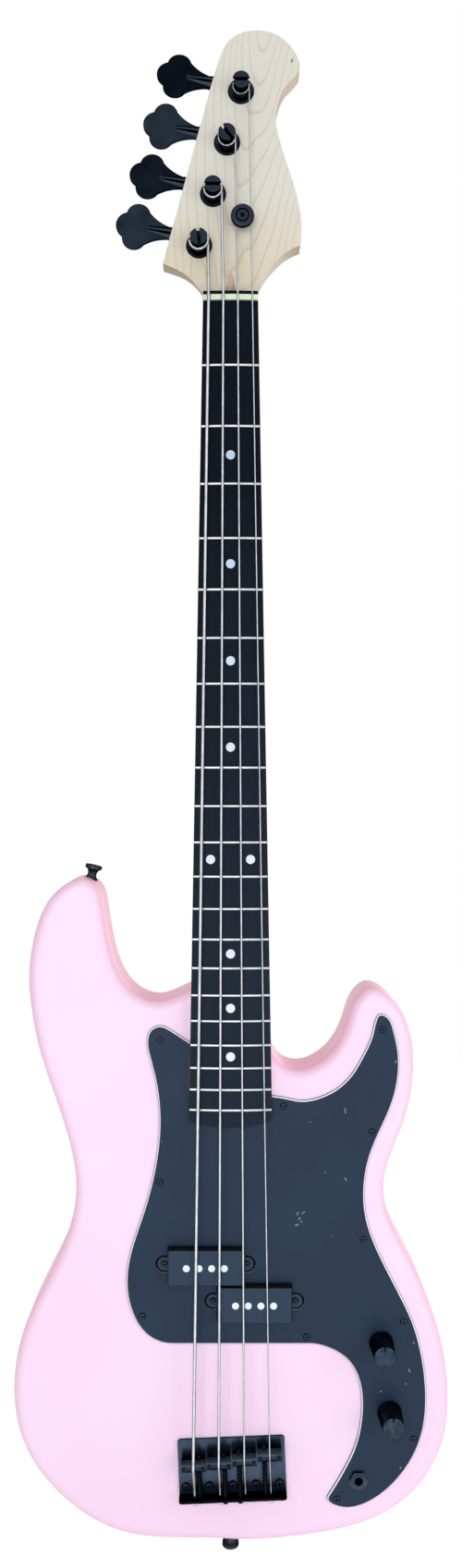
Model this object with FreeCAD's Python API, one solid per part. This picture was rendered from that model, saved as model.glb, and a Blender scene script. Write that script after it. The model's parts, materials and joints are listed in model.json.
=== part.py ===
import FreeCAD, Part
import math
import os
from FreeCAD import Vector

os.makedirs("parts", exist_ok=True)

# Electric bass guitar. X is to the right as it is seen from the front, Y to the back, Z up the neck.
# The outer end of the tail strap button is at the origin. Sizes are in millimetres, angles in degrees.

# Clearances
seat_clearance = 0.02  # between pieces that are fixed to each other
turning_clearance = 0.06  # radial, around a turning shaft
passing_clearance = 0.35  # between round faces that move past each other
cut_margin = 20.0  # how far a cutting shape reaches past the face it cuts

# Body
body_width = 332.0
body_length = 504.4
body_thickness = 44.0
body_front_round = 9.0
body_back_round = 6.5
front_round_limit_share = 0.0412
back_round_limit_share = 0.0298
belly_radius = 600.0
belly_depth = 12.0
belly_side_share = -0.46
belly_height_share = 0.57
body_outline_shares = (
    (0.001, 0.0), (-0.127, 0.002), (-0.253, 0.012), (-0.349, 0.044), (-0.428, 0.093), (-0.477, 0.146),
    (-0.499, 0.221), (-0.486, 0.295), (-0.445, 0.365), (-0.391, 0.437), (-0.362, 0.494), (-0.357, 0.544),
    (-0.371, 0.598), (-0.404, 0.667), (-0.436, 0.730), (-0.458, 0.800), (-0.464, 0.852), (-0.451, 0.915),
    (-0.421, 0.964), (-0.379, 0.991), (-0.336, 1.000), (-0.305, 0.986), (-0.291, 0.955), (-0.281, 0.914),
    (-0.263, 0.869), (-0.225, 0.830), (-0.165, 0.815), (-0.112, 0.827), (-0.059, 0.840), (0.018, 0.840),
    (0.067, 0.823), (0.083, 0.789), (0.090, 0.756), (0.110, 0.724), (0.150, 0.711), (0.204, 0.722),
    (0.244, 0.749), (0.266, 0.781), (0.285, 0.814), (0.321, 0.834), (0.362, 0.824), (0.398, 0.795),
    (0.419, 0.744), (0.419, 0.688), (0.398, 0.629), (0.365, 0.573), (0.353, 0.531), (0.366, 0.487),
    (0.409, 0.430), (0.458, 0.357), (0.491, 0.281), (0.501, 0.214), (0.492, 0.156), (0.450, 0.095),
    (0.374, 0.047), (0.268, 0.018), (0.140, 0.004),
)

# Strap buttons
tail_button_length = 15.0
horn_button_length = 11.0
button_cap_radius = 6.4
button_cap_length = 2.6
button_waist_radius = 3.6
button_base_radius = 5.6
button_screw_radius = 1.9
button_screw_head_radius = 3.4
button_screw_head_length = 2.0
button_screw_depth = 24.0
horn_button_side_share = -0.327
horn_button_height_share = 0.996
horn_button_tilt = 13.0
tail_button_side = 0.0

# Neck, fretboard and frets
scale_length = 863.6
fret_count = 21
nut_width = 41.4
board_end_width = 62.6
board_length = 617.0
board_end_bulge = 3.0
board_corner_radius = 5.0
board_thickness = 6.2
board_radius = 241.3
board_strip = 3.4
neck_rise = 9.5
neck_depth_at_nut = 21.5
neck_depth_at_heel = 24.2
heel_depth = 25.5
heel_length = 83.0
heel_end_height_share = 0.67129
heel_ramp_radius = 22.0
pocket_clearance = 0.1
fret_crown_width = 2.5
fret_crown_height = 1.0
fret_tang_width = 0.6
fret_tang_depth = 2.0
fret_end_inset = 0.5
dot_radius = 3.4
dot_depth = 2.0
double_dot_side = 15.0
side_dot_radius = 1.2
side_dot_depth = 2.0
side_dot_drop = 3.9
double_side_dot_spacing = 9.0
single_dot_frets = (3, 5, 7, 9, 15, 17, 19)
double_dot_fret = 12

# Nut
nut_thickness = 4.0
nut_seat_depth = 3.4
nut_rise = 1.75
string_rise_at_nut = 1.3

# Truss rod
rod_radius = 2.6
rod_depth = 6.4
rod_length = 540.0
rod_nut_radius = 3.4
rod_nut_length = 9.0
rod_nut_socket_radius = 2.0
rod_nut_socket_depth = 6.0
scoop_radius = 3.9
scoop_tilt = 10.0
scoop_length = 40.0

# Headstock
headstock_length = 210.5
headstock_width = 106.0
headstock_drop = 12.0
headstock_thickness = 14.0
headstock_ramp = 15.0
headstock_back_ramp = 34.0
head_left_shares = ((-0.486, 0.158), (-0.414, 0.143), (-0.328, 0.120), (-0.255, 0.084), (-0.205, 0.045))
head_right_shares = ((0.197, 0.045), (0.238, 0.102), (0.288, 0.142), (0.367, 0.186), (0.500, 0.223))
head_top_shares = (
    (-0.142, 0.796), (-0.089, 0.884), (-0.017, 0.959), (0.083, 0.992), (0.195, 1.000),
    (0.314, 0.988), (0.420, 0.949), (0.483, 0.900), (0.496, 0.861), (0.453, 0.828),
    (0.387, 0.792), (0.341, 0.737), (0.324, 0.681), (0.347, 0.612), (0.400, 0.524),
    (0.460, 0.433), (0.493, 0.361), (0.510, 0.286), (0.500, 0.223),
)

# Neck plate and its screws
neck_plate_width = 44.0
neck_plate_length = 60.0
neck_plate_thickness = 1.6
neck_plate_corner = 4.0
neck_screw_spacing_x = 31.0
neck_screw_spacing_z = 47.0
neck_plate_from_heel_end = 38.0
neck_screw_radius = 2.3
neck_screw_head_radius = 4.2
neck_screw_head_height = 1.8
neck_screw_bite = 13.0

# Pickguard
guard_thickness = 2.3
guard_bevel = 1.5
guard_neck_gap = 0.5
guard_neck_reach_share = 1.3
guard_screw_radius = 1.4
guard_screw_head_radius = 2.7
guard_screw_head_height = 0.9
guard_screw_depth = 9.0
guard_right_shares = (
    (0.119, 0.673), (0.159, 0.668), (0.208, 0.674), (0.249, 0.689),
    (0.278, 0.709), (0.302, 0.736), (0.321, 0.764), (0.330, 0.788), (0.339, 0.797),
    (0.355, 0.795), (0.373, 0.774), (0.384, 0.738), (0.383, 0.702), (0.372, 0.669),
    (0.349, 0.632), (0.319, 0.585), (0.306, 0.538), (0.311, 0.491), (0.340, 0.438),
    (0.380, 0.386), (0.416, 0.336), (0.438, 0.283), (0.447, 0.222), (0.439, 0.172),
    (0.414, 0.130), (0.376, 0.096), (0.326, 0.069), (0.279, 0.057), (0.237, 0.060),
    (0.220, 0.069), (0.229, 0.083), (0.253, 0.109), (0.279, 0.143), (0.295, 0.183),
    (0.298, 0.222), (0.288, 0.255), (0.265, 0.279), (0.227, 0.295), (0.180, 0.302),
)
guard_left_shares = (
    (-0.134, 0.302), (-0.189, 0.315), (-0.224, 0.348), (-0.238, 0.394), (-0.229, 0.440),
    (-0.201, 0.497), (-0.174, 0.565), (-0.163, 0.627), (-0.167, 0.678), (-0.183, 0.727),
    (-0.191, 0.757), (-0.182, 0.774), (-0.161, 0.780), (-0.134, 0.773),
)
guard_neck_right_height_share = 0.675
guard_neck_left_height_share = 0.755
guard_screw_shares = (
    (-0.160, 0.759), (-0.161, 0.546), (-0.201, 0.345), (0.173, 0.314), (0.121, 0.660), (0.347, 0.774),
    (0.323, 0.621), (0.302, 0.460), (0.394, 0.337), (0.416, 0.161), (0.242, 0.071),
)

# Split pickup
pickup_length = 56.5
pickup_width = 27.0
pickup_rise = 7.6
pickup_depth = 9.0
pickup_edge_round = 1.6
pickup_wall = 1.6
pickup_left_x = -18.9
pickup_right_x = 18.0
pickup_left_height_share = 0.42288
pickup_right_height_share = 0.36737
ear_reach = 31.2
ear_radius = 5.2
ear_gap = 1.0
ear_thickness = 2.2
ear_below_guard_top = 0.6
pickup_gap = 0.4
pole_radius = 2.6
pole_spacing = 9.5
pole_count = 4
pole_length = 17.0
pole_rise = 0.15
bobbin_flange = 2.2
bobbin_waist = 2.4
pickup_screw_radius = 1.3
pickup_screw_head_radius = 2.5
pickup_screw_head_height = 1.2
pickup_screw_depth = 16.0
pickup_rout_depth = 19.0
pickup_rout_gap = 1.2

# Controls
volume_side_share = 0.34277
volume_height_share = 0.30571
tone_side_share = 0.36145
tone_height_share = 0.20163
knob_base_radius = 9.25
knob_top_radius = 7.9
knob_height = 20.5
knob_gap = 2.0
knob_edge_round = 0.8
knob_hollow_radius = 7.6
knob_hollow_depth = 4.0
knob_mark_width = 1.2
knob_mark_length = 3.2
knob_mark_depth = 0.7
knob_bore_depth = 14.0
pot_shaft_radius = 3.0
pot_bushing_radius = 4.6
pot_bushing_rise = 3.4
pot_radius = 12.0
pot_height = 10.5
pot_socket_depth = 5.0
pot_lug_width = 3.0
pot_lug_reach = 5.0
pot_lug_thickness = 1.0
pot_nut_radius = 6.6
pot_nut_height = 2.0
washer_radius = 7.4
washer_thickness = 0.6
cavity_radius = 15.5
jack_cavity_radius = 12.5
cavity_depth = 35.0
channel_radius = 6.5
jack_side_share = 0.29096
jack_height_share = 0.10012
jack_bore_radius = 3.25
jack_bushing_radius = 4.7
jack_bushing_rise = 2.6
jack_body_radius = 8.0
jack_body_length = 22.0
jack_lug_width = 2.5
jack_lug_length = 6.0
jack_lug_thickness = 0.8
jack_nut_radius = 7.0
jack_nut_height = 1.6
capacitor_radius = 3.2
capacitor_length = 12.0
wire_radius = 0.8
wire_drop = 6.0
wire_bend = 3.0
wire_edge_share = 0.75
ground_hole_radius = 1.7
ground_end_x = 26.0

# Bridge
bridge_x = 0.2
bridge_front_height_share = 0.16217
bridge_front_distance = 856.8
bridge_twist = 2.3
bridge_width = 81.0
bridge_length = 41.7
bridge_thickness = 2.0
bridge_lip_height = 11.0
bridge_lip_thickness = 2.0
bridge_corner = 2.5
bridge_screw_count = 5
bridge_screw_spacing = 17.6
bridge_screw_inset = 6.6
bridge_screw_radius = 1.7
bridge_screw_head_radius = 3.2
bridge_screw_head_height = 1.7
bridge_screw_depth = 20.0
string_spacing_at_bridge = 19.1
saddle_radius = 4.6
saddle_length = 18.3
saddle_groove_depth = 0.7
saddle_set_shares = (0.373, 0.325, 0.280, 0.235)
string_rise_at_bridge = 4.7
height_screw_radius = 1.5
height_screw_side = 7.1
height_screw_rise = 1.2
height_screw_socket_radius = 0.75
height_screw_socket_depth = 1.5
height_screw_gap = 0.05
intonation_screw_radius = 1.25
intonation_side = 4.0
intonation_head_radius = 1.75
intonation_head_length = 2.2
intonation_tip = 3.0
spring_wire_radius = 0.3
spring_radius = 1.75
spring_turns = 9
spring_end_gap = 0.15

# Strings
string_names = ("E", "A", "D", "G")
string_radii = (1.2, 0.95, 0.70, 0.51)
string_spacing_at_nut = 10.9
string_bend = 9.0
string_hole_clearance = 0.3
string_hole_height = 4.2
string_post_run = 6.0
wrap_turn_halves = (3, 3, 3, 3)
wrap_gap = 0.45
gap_samples = 25
wrap_start_gap = 0.3
string_slot_clearance = 0.1
ball_radius = 2.7
ball_length = 4.2

# String tree
tree_x = 9.0
tree_z_share = 0.311
tree_radius = 8.8
tree_flange_thickness = 2.6
tree_stem_radius = 3.0
tree_stem_length = 7.0
tree_edge_round = 1.5
tree_recess_radius = 5.2
tree_recess_depth = 1.2
tree_screw_radius = 1.4
tree_screw_head_radius = 4.0
tree_screw_head_height = 1.0
tree_screw_socket_radius = 2.0
tree_screw_depth = 9.0
tree_string_gap = 0.15

# Tuners
first_post_x = -23.9
first_post_z_share = 0.223
post_pitch = 40.5
post_line_tilt = 15.2
tuner_turn = 11.5
ferrule_radius = 10.0
ferrule_thickness = 1.8
ferrule_ring_radius = 8.0
ferrule_ring_height = 0.9
ferrule_sleeve_radius = 8.2
ferrule_sleeve_length = 8.5
post_radius = 6.5
post_waist_radius = 5.2
post_waist_start = 0.8
post_waist_length = 8.6
post_cap_length = 2.8
post_cap_round = 0.7
post_slot_width = 2.6
post_slot_depth = 5.0
post_slot_turns = (72.0, -11.5, 40.0, -11.5)
post_stub_radius = 3.4
rivet_radius = 4.6
rivet_height = 1.1
tuner_plate_thickness = 1.3
tuner_plate_inner = 13.6
tuner_plate_outer = 20.0
tuner_plate_low = 13.6
tuner_plate_high = 19.8
tuner_plate_corner = 3.0
worm_wheel_teeth = 20
wheel_pitch_radius = 10.4
worm_pitch_radius = 3.6
tooth_addendum = 0.85
tooth_dedendum = 1.1
tooth_backlash = 0.34
tooth_flank = 20.0
wheel_width = 5.5
wheel_hub_radius = 6.0
worm_height = 6.3
worm_length = 12.4
worm_root_radius = 2.45
worm_end_run = 10.5
tab_thickness = 1.8
tab_gap = 0.4
tab_half_width = 4.5
tab_rise = 3.9
tuner_screw_radius = 1.3
tuner_screw_head_radius = 2.4
tuner_screw_head_height = 1.2
tuner_screw_depth = 9.0
tuner_screw_inset = 2.7
key_start = 25.0
key_rest_turns = (4.0, 6.0, 4.0, 8.0)
key_length = 44.3
key_half_width = 18.4
key_thickness = 3.2
key_edge_bevel = 0.7
key_stem_radius = 5.0
key_stem_end_radius = 2.4
key_stem_length = 21.0
key_collar_radius = 4.2
key_collar_length = 2.5
key_shaft_grip = 11.0
worm_shaft_radius = 2.2
key_neck_share = 0.079
key_neck_width_share = 0.277
key_flare_share = 0.30
key_flare_width_share = 0.46
key_lobe_start_share = 0.48
key_lobe_start_width_share = 0.78
key_lobe_share = 0.64
key_lobe_radius = 9.4
key_end_lobe_radius = 10.3
key_groove_radius = 0.75
key_groove_side_share = 0.38

# Screw heads
screw_top_share = 0.72
cross_width_share = 0.26
cross_length_share = 0.62
cross_depth_share = 0.55

# Places that follow from the sizes above
body_bottom_z = tail_button_length
body_front_y = -body_thickness / 2
body_back_y = body_thickness / 2
horn_tip_curve = body_width ** 2 / body_length
front_round = min(body_front_round, front_round_limit_share * horn_tip_curve)
back_round = min(body_back_round, back_round_limit_share * horn_tip_curve)
bridge_front_z = body_bottom_z + bridge_front_height_share * body_length
nut_z = bridge_front_z + bridge_front_distance
pickup_left_z = body_bottom_z + pickup_left_height_share * body_length
pickup_right_z = body_bottom_z + pickup_right_height_share * body_length
volume_x = volume_side_share * body_width
volume_z = body_bottom_z + volume_height_share * body_length
tone_x = tone_side_share * body_width
tone_z = body_bottom_z + tone_height_share * body_length
jack_x = jack_side_share * body_width
jack_z = body_bottom_z + jack_height_share * body_length
guard_top_y = body_front_y - guard_thickness
board_top_y = body_front_y - neck_rise
board_bottom_y = board_top_y + board_thickness
heel_back_y = board_top_y + heel_depth
head_face_y = board_top_y + headstock_drop
head_back_y = head_face_y + headstock_thickness
strip_end_z = nut_z + nut_thickness + board_strip
heel_end_z = body_bottom_z + heel_end_height_share * body_length
board_axis_y = board_top_y + board_radius
plate_top_y = body_front_y - bridge_thickness
post_top = headstock_thickness + ferrule_thickness + ferrule_ring_height + post_waist_start
post_top = post_top + post_waist_length + post_cap_length
wheel_pitch = 2 * math.pi * wheel_pitch_radius / worm_wheel_teeth
worm_offset = wheel_pitch_radius + worm_pitch_radius


def body_point(shares, y):
    """Return a point given in shares of the body's width and length."""
    return Vector(shares[0] * body_width, y, body_bottom_z + shares[1] * body_length)


def head_point(shares, y):
    """Return a point given in shares of the headstock's width and length above the nut."""
    return Vector(shares[0] * headstock_width, y, nut_z + shares[1] * headstock_length)


def fret_z(number):
    """Return the height of a fret's centre line."""
    return nut_z - scale_length * (1 - 2 ** (-number / 12))


def half_width(z):
    """Return half of the neck's width at a height."""
    share = (nut_z - z) / board_length
    return (nut_width + (board_end_width - nut_width) * share) / 2


def board_y(x):
    """Return the fretboard's top at a distance from its middle line."""
    return board_axis_y - math.sqrt(board_radius ** 2 - x ** 2)


def line(start, end):
    """Return a straight edge."""
    return Part.LineSegment(start, end).toShape()


def arc(start, middle, end):
    """Return a round edge through three points."""
    return Part.Arc(start, middle, end).toShape()


def spline(points, closed=False, first=None, last=None):
    """Return a smooth edge through the points, with given directions at its ends if there are any."""
    curve = Part.BSplineCurve()
    if first is not None and last is not None:
        curve.interpolate(Points=points, InitialTangent=first, FinalTangent=last, Scale=False)
    else:
        curve.interpolate(Points=points, PeriodicFlag=closed)
    return curve.toShape()


def stretches(edge):
    """Return a long smooth edge in stretches that end at every second point, so that cuts through it stay exact."""
    curve = edge.Curve
    knots = curve.getKnots()
    ends = knots[0:-1:2] + [knots[-1]]
    return [curve.toShape(ends[number], ends[number + 1]) for number in range(len(ends) - 1)]


def slab(edges, depth):
    """Return the solid that an outline facing the front sweeps on its way back."""
    return Part.Face(Part.Wire(edges)).extrude(Vector(0, depth, 0))


def block(x_low, x_high, y_low, y_high, z_low, z_high):
    """Return a box between six planes."""
    corner = Vector(x_low, y_low, z_low)
    return Part.makeBox(x_high - x_low, y_high - y_low, z_high - z_low, corner)


def drill(x, z, y_front, y_back, radius):
    """Return a cylinder along the front-to-back direction."""
    return Part.makeCylinder(radius, y_back - y_front, Vector(x, y_front, z), Vector(0, 1, 0))


def long_slot(x_one, z_one, x_two, z_two, radius, y_front, y_back):
    """Return a slot with round ends between two centres."""
    along = Vector(x_two - x_one, 0, z_two - z_one).normalize() * radius
    across = Vector(-along.z, 0, along.x)
    one = Vector(x_one, y_front, z_one)
    two = Vector(x_two, y_front, z_two)
    edges = [
        line(one + across, two + across),
        arc(two + across, two + along, two - across),
        line(two - across, one - across),
        arc(one - across, one - along, one + across),
    ]
    return slab(edges, y_back - y_front)


def rounded_plate(x_low, x_high, y_low, y_high, z_low, z_high, corner):
    """Return a plate facing the front with round corners."""
    plate = block(x_low, x_high, y_low, y_high, z_low, z_high)
    upright = [edge for edge in plate.Edges if edge.BoundBox.YLength > (y_high - y_low) / 2]
    return plate.makeFillet(corner, upright)


def joined(shapes):
    """Return one solid made of several that meet."""
    whole = shapes[0].fuse(shapes[1:])
    return whole.removeSplitter()


def moved(shape, place):
    """Return a copy of a shape carried along by a place."""
    copy = shape.copy()
    copy.Placement = place.multiply(shape.Placement)
    return copy


def placed(shape, position, direction):
    """Return a copy standing at a position with its own Z along a direction."""
    return moved(shape, FreeCAD.Placement(position, FreeCAD.Rotation(Vector(0, 0, 1), direction)))


def bent_path(points, bend_radius):
    """Return straight edges between points, with tangent arcs at the corners."""
    edges = []
    start = points[0]
    for before, corner, after in zip(points, points[1:], points[2:]):
        inward = (before - corner).normalize()
        outward = (after - corner).normalize()
        half_angle = inward.getAngle(outward) / 2
        setback = bend_radius / math.tan(half_angle)
        middle = (inward + outward).normalize()
        crown = corner + middle * (bend_radius / math.sin(half_angle) - bend_radius)
        first = corner + inward * setback
        last = corner + outward * setback
        edges.append(line(start, first))
        edges.append(arc(first, crown, last))
        start = last
    edges.append(line(start, points[-1]))
    return edges


def tube(edges, radius):
    """Return a round solid along a path."""
    first = edges[0]
    start = first.valueAt(first.FirstParameter)
    heading = first.tangentAt(first.FirstParameter)
    ring = Part.Wire(Part.Circle(start, heading, radius).toShape())
    return Part.Wire(edges).makePipeShell([ring], True, False)


def screw(head_radius, head_height, shank_radius, depth):
    """Return a cross-head screw whose head stands on the plane Z = 0."""
    head = Part.makeCone(head_radius, head_radius * screw_top_share, head_height)
    shank = Part.makeCylinder(shank_radius, depth, Vector(0, 0, -depth))
    half_length = head_radius * cross_length_share
    half_width_of_cross = head_radius * cross_width_share / 2
    floor = head_height * (1 - cross_depth_share)
    whole = head.fuse(shank).removeSplitter()
    bar = block(-half_length, half_length, -half_width_of_cross, half_width_of_cross, floor, head_height)
    other = block(-half_width_of_cross, half_width_of_cross, -half_length, half_length, floor, head_height)
    return whole.cut(bar.fuse(other))


def hexagon(radius, height):
    """Return a six-sided bar standing on the plane Z = 0."""
    corners = []
    for number in range(6):
        angle = math.radians(60 * number)
        corners.append(Vector(radius * math.cos(angle), radius * math.sin(angle), 0))
    corners.append(corners[0])
    face = Part.Face(Part.makePolygon(corners))
    return face.extrude(Vector(0, 0, height))


def hexagon_nut(radius, height, bore):
    """Return a six-sided nut standing on the plane Z = 0."""
    return hexagon(radius, height).cut(Part.makeCylinder(bore, height))


def front_screws(shape, places, y):
    """Return copies of a screw driven into the front at several places."""
    return [placed(shape, Vector(x, y, z), Vector(0, -1, 0)) for x, z in places]


def guard_screw_places():
    """Return where the pickguard screws are."""
    points = [body_point(shares, 0) for shares in guard_screw_shares]
    return [(point.x, point.z) for point in points]


def neck_screw_places():
    """Return where the four neck screws are."""
    middle = heel_end_z + neck_plate_from_heel_end
    sides = (-neck_screw_spacing_x / 2, neck_screw_spacing_x / 2)
    heights = (middle - neck_screw_spacing_z / 2, middle + neck_screw_spacing_z / 2)
    return [(x, z) for x in sides for z in heights]


def ear_places():
    """Return where the four pickup ear screws are."""
    places = []
    for x, z in pickup_places():
        places.append((x - ear_reach, z))
        places.append((x + ear_reach, z))
    return places


def pickup_places():
    """Return the middles of the two pickup halves."""
    return [(pickup_left_x, pickup_left_z), (pickup_right_x, pickup_right_z)]


def bridge_placement():
    """Return the place of the bridge, whose own origin is in the middle of its front edge."""
    turn = FreeCAD.Rotation(Vector(0, 1, 0), -bridge_twist)
    return FreeCAD.Placement(Vector(bridge_x, body_front_y, bridge_front_z), turn)


def on_bridge(shape):
    """Return a copy of a bridge piece in its place on the body."""
    return moved(shape, bridge_placement())


def bridge_screw_places():
    """Return where the bridge screws are, on the bridge."""
    first = -bridge_screw_spacing * (bridge_screw_count - 1) / 2
    z = -bridge_length + bridge_screw_inset
    return [(first + number * bridge_screw_spacing, z) for number in range(bridge_screw_count)]


def string_side(number, spacing):
    """Return the distance of a string from the middle line."""
    return (number - (len(string_names) - 1) / 2) * spacing


def saddle_z(number):
    """Return a saddle's height on the bridge."""
    return -bridge_length * saddle_set_shares[number]


def string_y_at_saddle(number):
    """Return where the underside of a string crosses its saddle."""
    side = string_side(number, string_spacing_at_bridge)
    return board_y(side) - string_rise_at_bridge


def saddle_y(number):
    """Return the middle of a saddle barrel on the bridge."""
    underside = string_y_at_saddle(number) - body_front_y
    return underside + saddle_radius - saddle_groove_depth + passing_clearance


def screw_side(number):
    """Return where a saddle's intonation screw is, which lies towards the middle of the bridge."""
    side = string_side(number, string_spacing_at_bridge)
    return side - math.copysign(intonation_side, side)


def button_profile(length):
    """Return a strap button that stands on the plane Z = 0."""
    rim = length - button_cap_length
    points = [
        Vector(0, 0, 0),
        Vector(button_base_radius, 0, 0),
        Vector(button_waist_radius, 0, rim / 3),
        Vector(button_waist_radius, 0, rim * 2 / 3),
        Vector(button_cap_radius, 0, rim),
        Vector(button_cap_radius, 0, length),
        Vector(0, 0, length),
    ]
    edges = [
        line(points[0], points[1]),
        spline([points[1], points[2], points[3], points[4]]),
        line(points[4], points[5]),
        line(points[5], points[6]),
        line(points[6], points[0]),
    ]
    solid = Part.Face(Part.Wire(edges)).revolve(Vector(0, 0, 0), Vector(0, 0, 1), 360)
    sink = length - button_screw_head_length
    head_hole = Part.makeCylinder(button_screw_head_radius + seat_clearance, cut_margin, Vector(0, 0, sink))
    shank_hole = Part.makeCylinder(button_screw_radius + seat_clearance, length)
    return solid.cut(head_hole).cut(shank_hole)


def button_screw(length):
    """Return a strap button's screw, which lies with its head inside the button's end."""
    sink = length - button_screw_head_length
    depth = button_screw_depth + sink
    shape = screw(button_screw_head_radius, button_screw_head_length, button_screw_radius, depth)
    shape.translate(Vector(0, 0, sink))
    return shape


def button_seats():
    """Return the place and direction of each strap button with its length."""
    tilt = math.radians(horn_button_tilt)
    horn = body_point((horn_button_side_share, horn_button_height_share), 0)
    tail = Vector(tail_button_side, 0, body_bottom_z)
    return [
        (tail, Vector(0, 0, -1), tail_button_length),
        (horn, Vector(math.sin(tilt), 0, math.cos(tilt)), horn_button_length),
    ]


def tuner_placement(number):
    """Return the place of a tuner: its own X leads to the key, Y to the worm and Z to the back."""
    turn = math.radians(tuner_turn)
    tilt = math.radians(post_line_tilt)
    x = first_post_x + number * post_pitch * math.sin(tilt)
    z = nut_z + first_post_z_share * headstock_length + number * post_pitch * math.cos(tilt)
    rotation = FreeCAD.Rotation(
        Vector(-math.cos(turn), 0, math.sin(turn)),
        Vector(math.sin(turn), 0, math.cos(turn)),
        Vector(0, 1, 0),
        "ZXY",
    )
    return FreeCAD.Placement(Vector(x, head_back_y, z), rotation)


def on_headstock(shape, number):
    """Return a copy of a tuner piece in its place."""
    return moved(shape, tuner_placement(number))


def tuner_screw_places():
    """Return where the screws are on a tuner's plate."""
    across = (tuner_screw_inset - tuner_plate_inner, tuner_plate_outer - tuner_screw_inset)
    along = (tuner_screw_inset - tuner_plate_low, tuner_plate_high - tuner_screw_inset)
    return [(u, w) for u in across for w in along]


def body_blank():
    """Return the body without its hollows."""
    points = [body_point(shares, body_front_y) for shares in body_outline_shares]
    solid = slab([spline(points, closed=True)], body_thickness)
    front = [edge for edge in solid.Edges if edge.BoundBox.YMax < body_front_y + front_round / 2]
    solid = solid.makeFillet(front_round, front)
    back = [edge for edge in solid.Edges if edge.BoundBox.YMin > body_back_y - back_round / 2]
    solid = solid.makeFillet(back_round, back)
    middle = body_point((belly_side_share, belly_height_share), body_back_y - belly_depth + belly_radius)
    return solid.cut(Part.makeSphere(belly_radius, middle))


def neck_pocket():
    """Return the hollow that takes the neck's heel."""
    top_z = body_bottom_z + body_length
    low = half_width(heel_end_z) + pocket_clearance
    high = half_width(top_z) + pocket_clearance
    points = [
        Vector(-low, body_front_y - cut_margin, heel_end_z - pocket_clearance),
        Vector(low, body_front_y - cut_margin, heel_end_z - pocket_clearance),
        Vector(high, body_front_y - cut_margin, top_z),
        Vector(-high, body_front_y - cut_margin, top_z),
    ]
    edges = [line(points[number - 1], points[number]) for number in range(len(points))]
    return slab(edges, heel_back_y - body_front_y + cut_margin)


def pickup_outline(x, z, gap, y_front, y_back):
    """Return a pickup half's outline with its ears, wider by a gap, as a solid."""
    long = pickup_length / 2 + gap
    wide = pickup_width / 2 + gap
    middle = block(x - long, x + long, y_front, y_back, z - wide, z + wide)
    ears = long_slot(x - ear_reach, z, x + ear_reach, z, ear_radius + ear_gap + gap, y_front, y_back)
    return middle.fuse(ears)


def body():
    """Return the body with pocket, hollows and screw holes."""
    front = body_front_y - cut_margin
    floor = body_front_y + cavity_depth
    rout = body_front_y + pickup_rout_depth
    cuts = [neck_pocket()]
    for x, z in pickup_places():
        cuts.append(pickup_outline(x, z, pickup_rout_gap, front, rout))
    cuts.append(long_slot(volume_x, volume_z, tone_x, tone_z, cavity_radius, front, floor))
    cuts.append(long_slot(tone_x, tone_z, jack_x, jack_z, jack_cavity_radius, front, floor))
    cuts.append(long_slot(pickup_right_x, pickup_right_z, volume_x, volume_z, channel_radius, front, rout))
    for x, z in guard_screw_places():
        hole = guard_screw_radius + seat_clearance
        cuts.append(drill(x, z, front, guard_top_y + guard_screw_depth + seat_clearance, hole))
    for x, z in ear_places():
        hole = pickup_screw_radius + seat_clearance
        cuts.append(drill(x, z, front, ear_top_y() + pickup_screw_depth + seat_clearance, hole))
    for x, z in neck_screw_places():
        hole = neck_screw_radius + seat_clearance
        cuts.append(drill(x, z, heel_back_y - cut_margin, body_back_y + cut_margin, hole))
    for x, z in bridge_screw_places():
        depth = bridge_screw_depth - bridge_thickness
        hole = drill(x, z, -cut_margin, depth, bridge_screw_radius + seat_clearance)
        cuts.append(on_bridge(hole))
    for seat, direction, length in button_seats():
        reach = button_screw_depth + seat_clearance
        start = seat - direction * reach
        hole = Part.makeCylinder(button_screw_radius + seat_clearance, reach, start, direction)
        cuts.append(hole)
        cuts.append(Part.makeCylinder(button_base_radius + seat_clearance, cut_margin, seat, direction))
    start, end = ground_wire_ends()
    cuts.append(Part.makeCylinder(ground_hole_radius, (end - start).Length, start, end - start))
    return body_blank().cut(cuts)


def ground_wire_ends():
    """Return the ends of the drilled hole from the controls to the bridge."""
    end_z = bridge_placement().Base.z - bridge_length / 2
    start = Vector(ground_end_x, body_front_y - ground_hole_radius, end_z)
    end = Vector(jack_x, body_front_y + pickup_rout_depth, jack_z)
    return start, end


def neck_section(z, depth):
    """Return the neck's round-backed outline at a height."""
    side = half_width(z)
    left = Vector(-side, board_bottom_y, z)
    right = Vector(side, board_bottom_y, z)
    low = Vector(0, board_top_y + depth, z)
    return Part.Wire([line(left, right), arc(right, low, left)])


def heel():
    """Return the block at the neck's end that sits in the body."""
    top_z = heel_end_z + heel_length + heel_ramp_radius
    low = half_width(heel_end_z)
    high = half_width(top_z)
    points = [
        Vector(-low, board_bottom_y, heel_end_z),
        Vector(low, board_bottom_y, heel_end_z),
        Vector(high, board_bottom_y, top_z),
        Vector(-high, board_bottom_y, top_z),
    ]
    edges = [line(points[number - 1], points[number]) for number in range(len(points))]
    solid = slab(edges, heel_back_y - board_bottom_y)
    ramp_middle = Vector(-board_end_width, heel_back_y, top_z)
    ramp = Part.makeCylinder(heel_ramp_radius, board_end_width * 2, ramp_middle, Vector(1, 0, 0))
    return solid.cut(ramp)


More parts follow.
